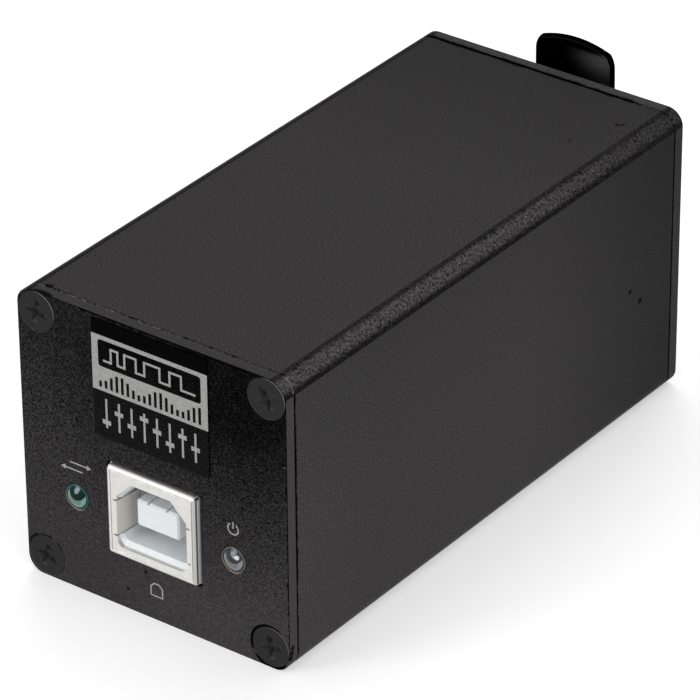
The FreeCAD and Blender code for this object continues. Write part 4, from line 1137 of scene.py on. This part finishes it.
class INTERFACE_OT_label(bpy.types.Operator):
    """Finishes the sticker and prints its band, its window, its bars and its faders"""
    bl_idname = "interface.label"
    bl_label = "Sticker"

    def execute(self, context):
        colours, sizes = context.scene.interface_case, context.scene.interface_prints
        film = ink_material("label_film", colours.film, 1.0, 0.4, 7.0, 3.6)
        silver = ink_material("label_silver", colours.silver, 0.3, 0.45)
        give(film, "front_label")
        first, second = label_low.y, label_low.y - sizes.thickness
        third = second - sizes.thickness
        for draw, y, ink in ((self.band, first, silver), (self.window, second, film),
                             (self.bars, second, film), (self.trace, third, silver),
                             (self.faders, first, silver)):
            settled(draw(sizes, y), ink, "case")
        return {"FINISHED"}

    def band(self, sizes, y):
        """The silver band across the sticker."""
        band = bar("label_band", (label_low.x, sizes.band_base), (label_high.x, sizes.band_top), y)
        raise_print(sizes.thickness)
        return band

    def window(self, sizes, y):
        """The dark window in the band, its corners rounded."""
        window = bar("label_window", (-sizes.window_half, sizes.window_base),
                     (sizes.window_half, sizes.window_top), y)
        everything("VERT")
        bpy.ops.mesh.bevel(affect="VERTICES", offset=0.35 * MM, segments=4)
        raise_print(sizes.thickness)
        return window

    def bars(self, sizes, y):
        """A row of bars under the window, whose heights swell and sink like a level meter."""
        base = sizes.band_base + 0.45 * MM
        room = sizes.window_base - 0.5 * MM - base
        half = sizes.bar_width / 2
        start = -0.97 * sizes.window_half
        step = -2 * start / (sizes.bar_count - 1)
        bars = [bar("label_bars", (start - half, base), (start + half, base + room), y)]
        raise_print(sizes.thickness)
        for number in range(1, sizes.bar_count):
            bars.append(copied(bars[0], (number * step, 0, 0)))
        for number, piece in enumerate(bars):
            swell = math.sin(math.pi * 2.5 * number / (sizes.bar_count - 1)) ** 2
            deselect()
            piece.select_set(True)
            bpy.ops.transform.resize(value=(1.0, 1.0, 0.35 + 0.65 * swell),
                                     center_override=(start + number * step, y, base))
        return joined("label_bars", bars)

    def trace(self, sizes, y):
        """A square wave across the window, narrow pulses first."""
        margin = 0.8 * MM
        low, high = sizes.window_base + margin, sizes.window_top - margin
        x = margin - sizes.window_half
        corners = [(x, low)]
        for pulse in (0.9, 0.9, 0.9, 1.5, 1.1, 2.0, 1.3, 1.5):
            x += pulse * MM
            corners += [(x, corners[-1][1]), (x, high if corners[-1][1] == low else low)]
        corners.append((sizes.window_half - margin, corners[-1][1]))
        line = walked_line("label_trace", corners, sizes.stroke, y)
        raise_print(sizes.thickness)
        return line

    def faders(self, sizes, y):
        """A row of sliders: a thin track and a knob on each, at its own height."""
        start = label_low.x + 1.7 * MM
        step = (label_high.x - label_low.x - 3.4 * MM) / (sizes.fader_count - 1)
        room = sizes.fader_top - sizes.fader_base
        half, wide = 0.13 * MM, 0.55 * MM
        low = sizes.fader_base + 0.2 * room
        track = bar("label_faders", (start - half, sizes.fader_base),
                    (start + half, sizes.fader_top), y)
        raise_print(sizes.thickness)
        knob = bar("label_knob", (start - wide, low - half * 2), (start + wide, low + half * 2),
                   y - sizes.thickness)
        raise_print(sizes.thickness)
        faders = [track, knob]
        for number in range(1, sizes.fader_count):
            up = 0.6 * room * ((number * 5) % 8) / 7
            faders += [copied(track, (number * step, 0, 0)), copied(knob, (number * step, 0, up))]
        return joined("label_faders", faders)


class INTERFACE_OT_marks(bpy.types.Operator):
    """Prints the plain marks beside the lamps and under the square socket"""
    bl_idname = "interface.marks"
    bl_label = "Marks"

    def execute(self, context):
        colours, sizes = context.scene.interface_case, context.scene.interface_prints
        ink = ink_material("mark_ink", colours.ink, 0.3, 0.5)
        for draw in (self.arrows, self.power, self.plug):
            settled(draw(sizes), ink, "case")
        return {"FINISHED"}

    def arrow(self, sizes, place):
        """One arrow that points to the right."""
        half, line = 1.15 * MM, sizes.mark_stroke / 2
        piece = bar("data_mark", (place.x - half, place.z - line), (place.x + half, place.z + line),
                    front_face)
        pick(piece, lambda middle: middle.x > place.x + 0.99 * half, "edges")
        extrude_edge((0, 0, 0))
        bpy.ops.transform.resize(value=(1.0, 1.0, 4.0))
        extrude_edge((0.6 * MM, 0, 0))
        bpy.ops.mesh.merge(type="COLLAPSE")
        raise_print(sizes.thickness)
        return piece

    def arrows(self, sizes):
        """Two arrows, there and back, over the left lamp."""
        middle = Vector((data_lamp.x, front_face, 15.2 * MM))
        there = self.arrow(sizes, middle + Vector((0.3 * MM, 0, 0.42 * MM)))
        back = copied(there, (0, 0, 0))
        bpy.ops.transform.rotate(value=math.pi, orient_axis="Y", center_override=middle)
        return joined("data_mark", [there, back])

    def power(self, sizes):
        """An open ring with a bar in its gap over the right lamp."""
        radius, half = sizes.mark_height / 2, sizes.mark_stroke / 2
        place = Vector((power_lamp.x, front_face, 15.3 * MM))
        ring = flat_ring("power_mark", place, radius, 40)
        extrude_edge((0, 0, 0))
        ratio = 1 - sizes.mark_stroke / radius
        bpy.ops.transform.resize(value=(ratio, 1.0, ratio))
        pick(ring, lambda middle: middle.z - place.z > abs(middle.x - place.x) * 1.5)
        bpy.ops.mesh.delete(type="FACE")
        raise_print(sizes.thickness)
        line = bar("power_mark_bar", (place.x - half, place.z + 0.02 * MM),
                   (place.x + half, place.z + radius + 0.1 * MM), front_face)
        raise_print(sizes.thickness)
        return joined("power_mark", [ring, line])

    def plug(self, sizes):
        """A small outline of a square plug, its upper corners cut."""
        place = Vector((0, front_face, 3.75 * MM))
        outline = flat_square("plug_mark", place, 1.7 * MM)
        pick(outline, lambda corner: corner.z > place.z, "verts")
        bpy.ops.mesh.bevel(affect="VERTICES", offset=0.5 * MM)
        everything()
        bpy.ops.mesh.inset(thickness=sizes.mark_stroke)
        bpy.ops.mesh.delete(type="FACE")
        raise_print(sizes.thickness)
        return outline


class INTERFACE_PT_panel(bpy.types.Panel):
    """Lists the settings and a button for each step"""
    bl_idname = "INTERFACE_PT_panel"
    bl_label = "Lighting interface"
    bl_space_type = "VIEW_3D"
    bl_region_type = "UI"
    bl_category = "Interface"

    def draw(self, context):
        for name in settings_of:
            box = self.layout.box()
            group = getattr(context.scene, name)
            for label in group.__annotations__:
                box.prop(group, label)
        for operator in operators:
            self.layout.operator(operator.bl_idname)


settings_of = {
    "interface_stage": StageSettings,
    "interface_case": CaseColours,
    "interface_sockets": SocketColours,
    "interface_board": BoardColours,
    "interface_prints": PrintSizes,
}
operators = (
    INTERFACE_OT_stage, INTERFACE_OT_case, INTERFACE_OT_screws, INTERFACE_OT_usb_socket,
    INTERFACE_OT_lamps, INTERFACE_OT_board, INTERFACE_OT_round_socket, INTERFACE_OT_latch,
    INTERFACE_OT_label, INTERFACE_OT_marks,
)


def register():
    """Makes the settings, the operators and the panel known."""
    for name, settings in settings_of.items():
        bpy.utils.register_class(settings)
        setattr(bpy.types.Scene, name, PointerProperty(type=settings))
    for shown in (*operators, INTERFACE_PT_panel):
        bpy.utils.register_class(shown)


def unregister():
    """Takes them out again."""
    for shown in (INTERFACE_PT_panel, *reversed(operators)):
        bpy.utils.unregister_class(shown)
    for name, settings in settings_of.items():
        delattr(bpy.types.Scene, name)
        bpy.utils.unregister_class(settings)


def main():
    """Builds the stage and every piece."""
    register()
    make_effects()
    bpy.ops.interface.stage()
    bpy.ops.interface.case()
    bpy.ops.interface.screws()
    bpy.ops.interface.usb_socket()
    bpy.ops.interface.lamps()
    bpy.ops.interface.board()
    bpy.ops.interface.round_socket()
    bpy.ops.interface.latch()
    bpy.ops.interface.label()
    bpy.ops.interface.marks()


if __name__ == "__main__":
    main()
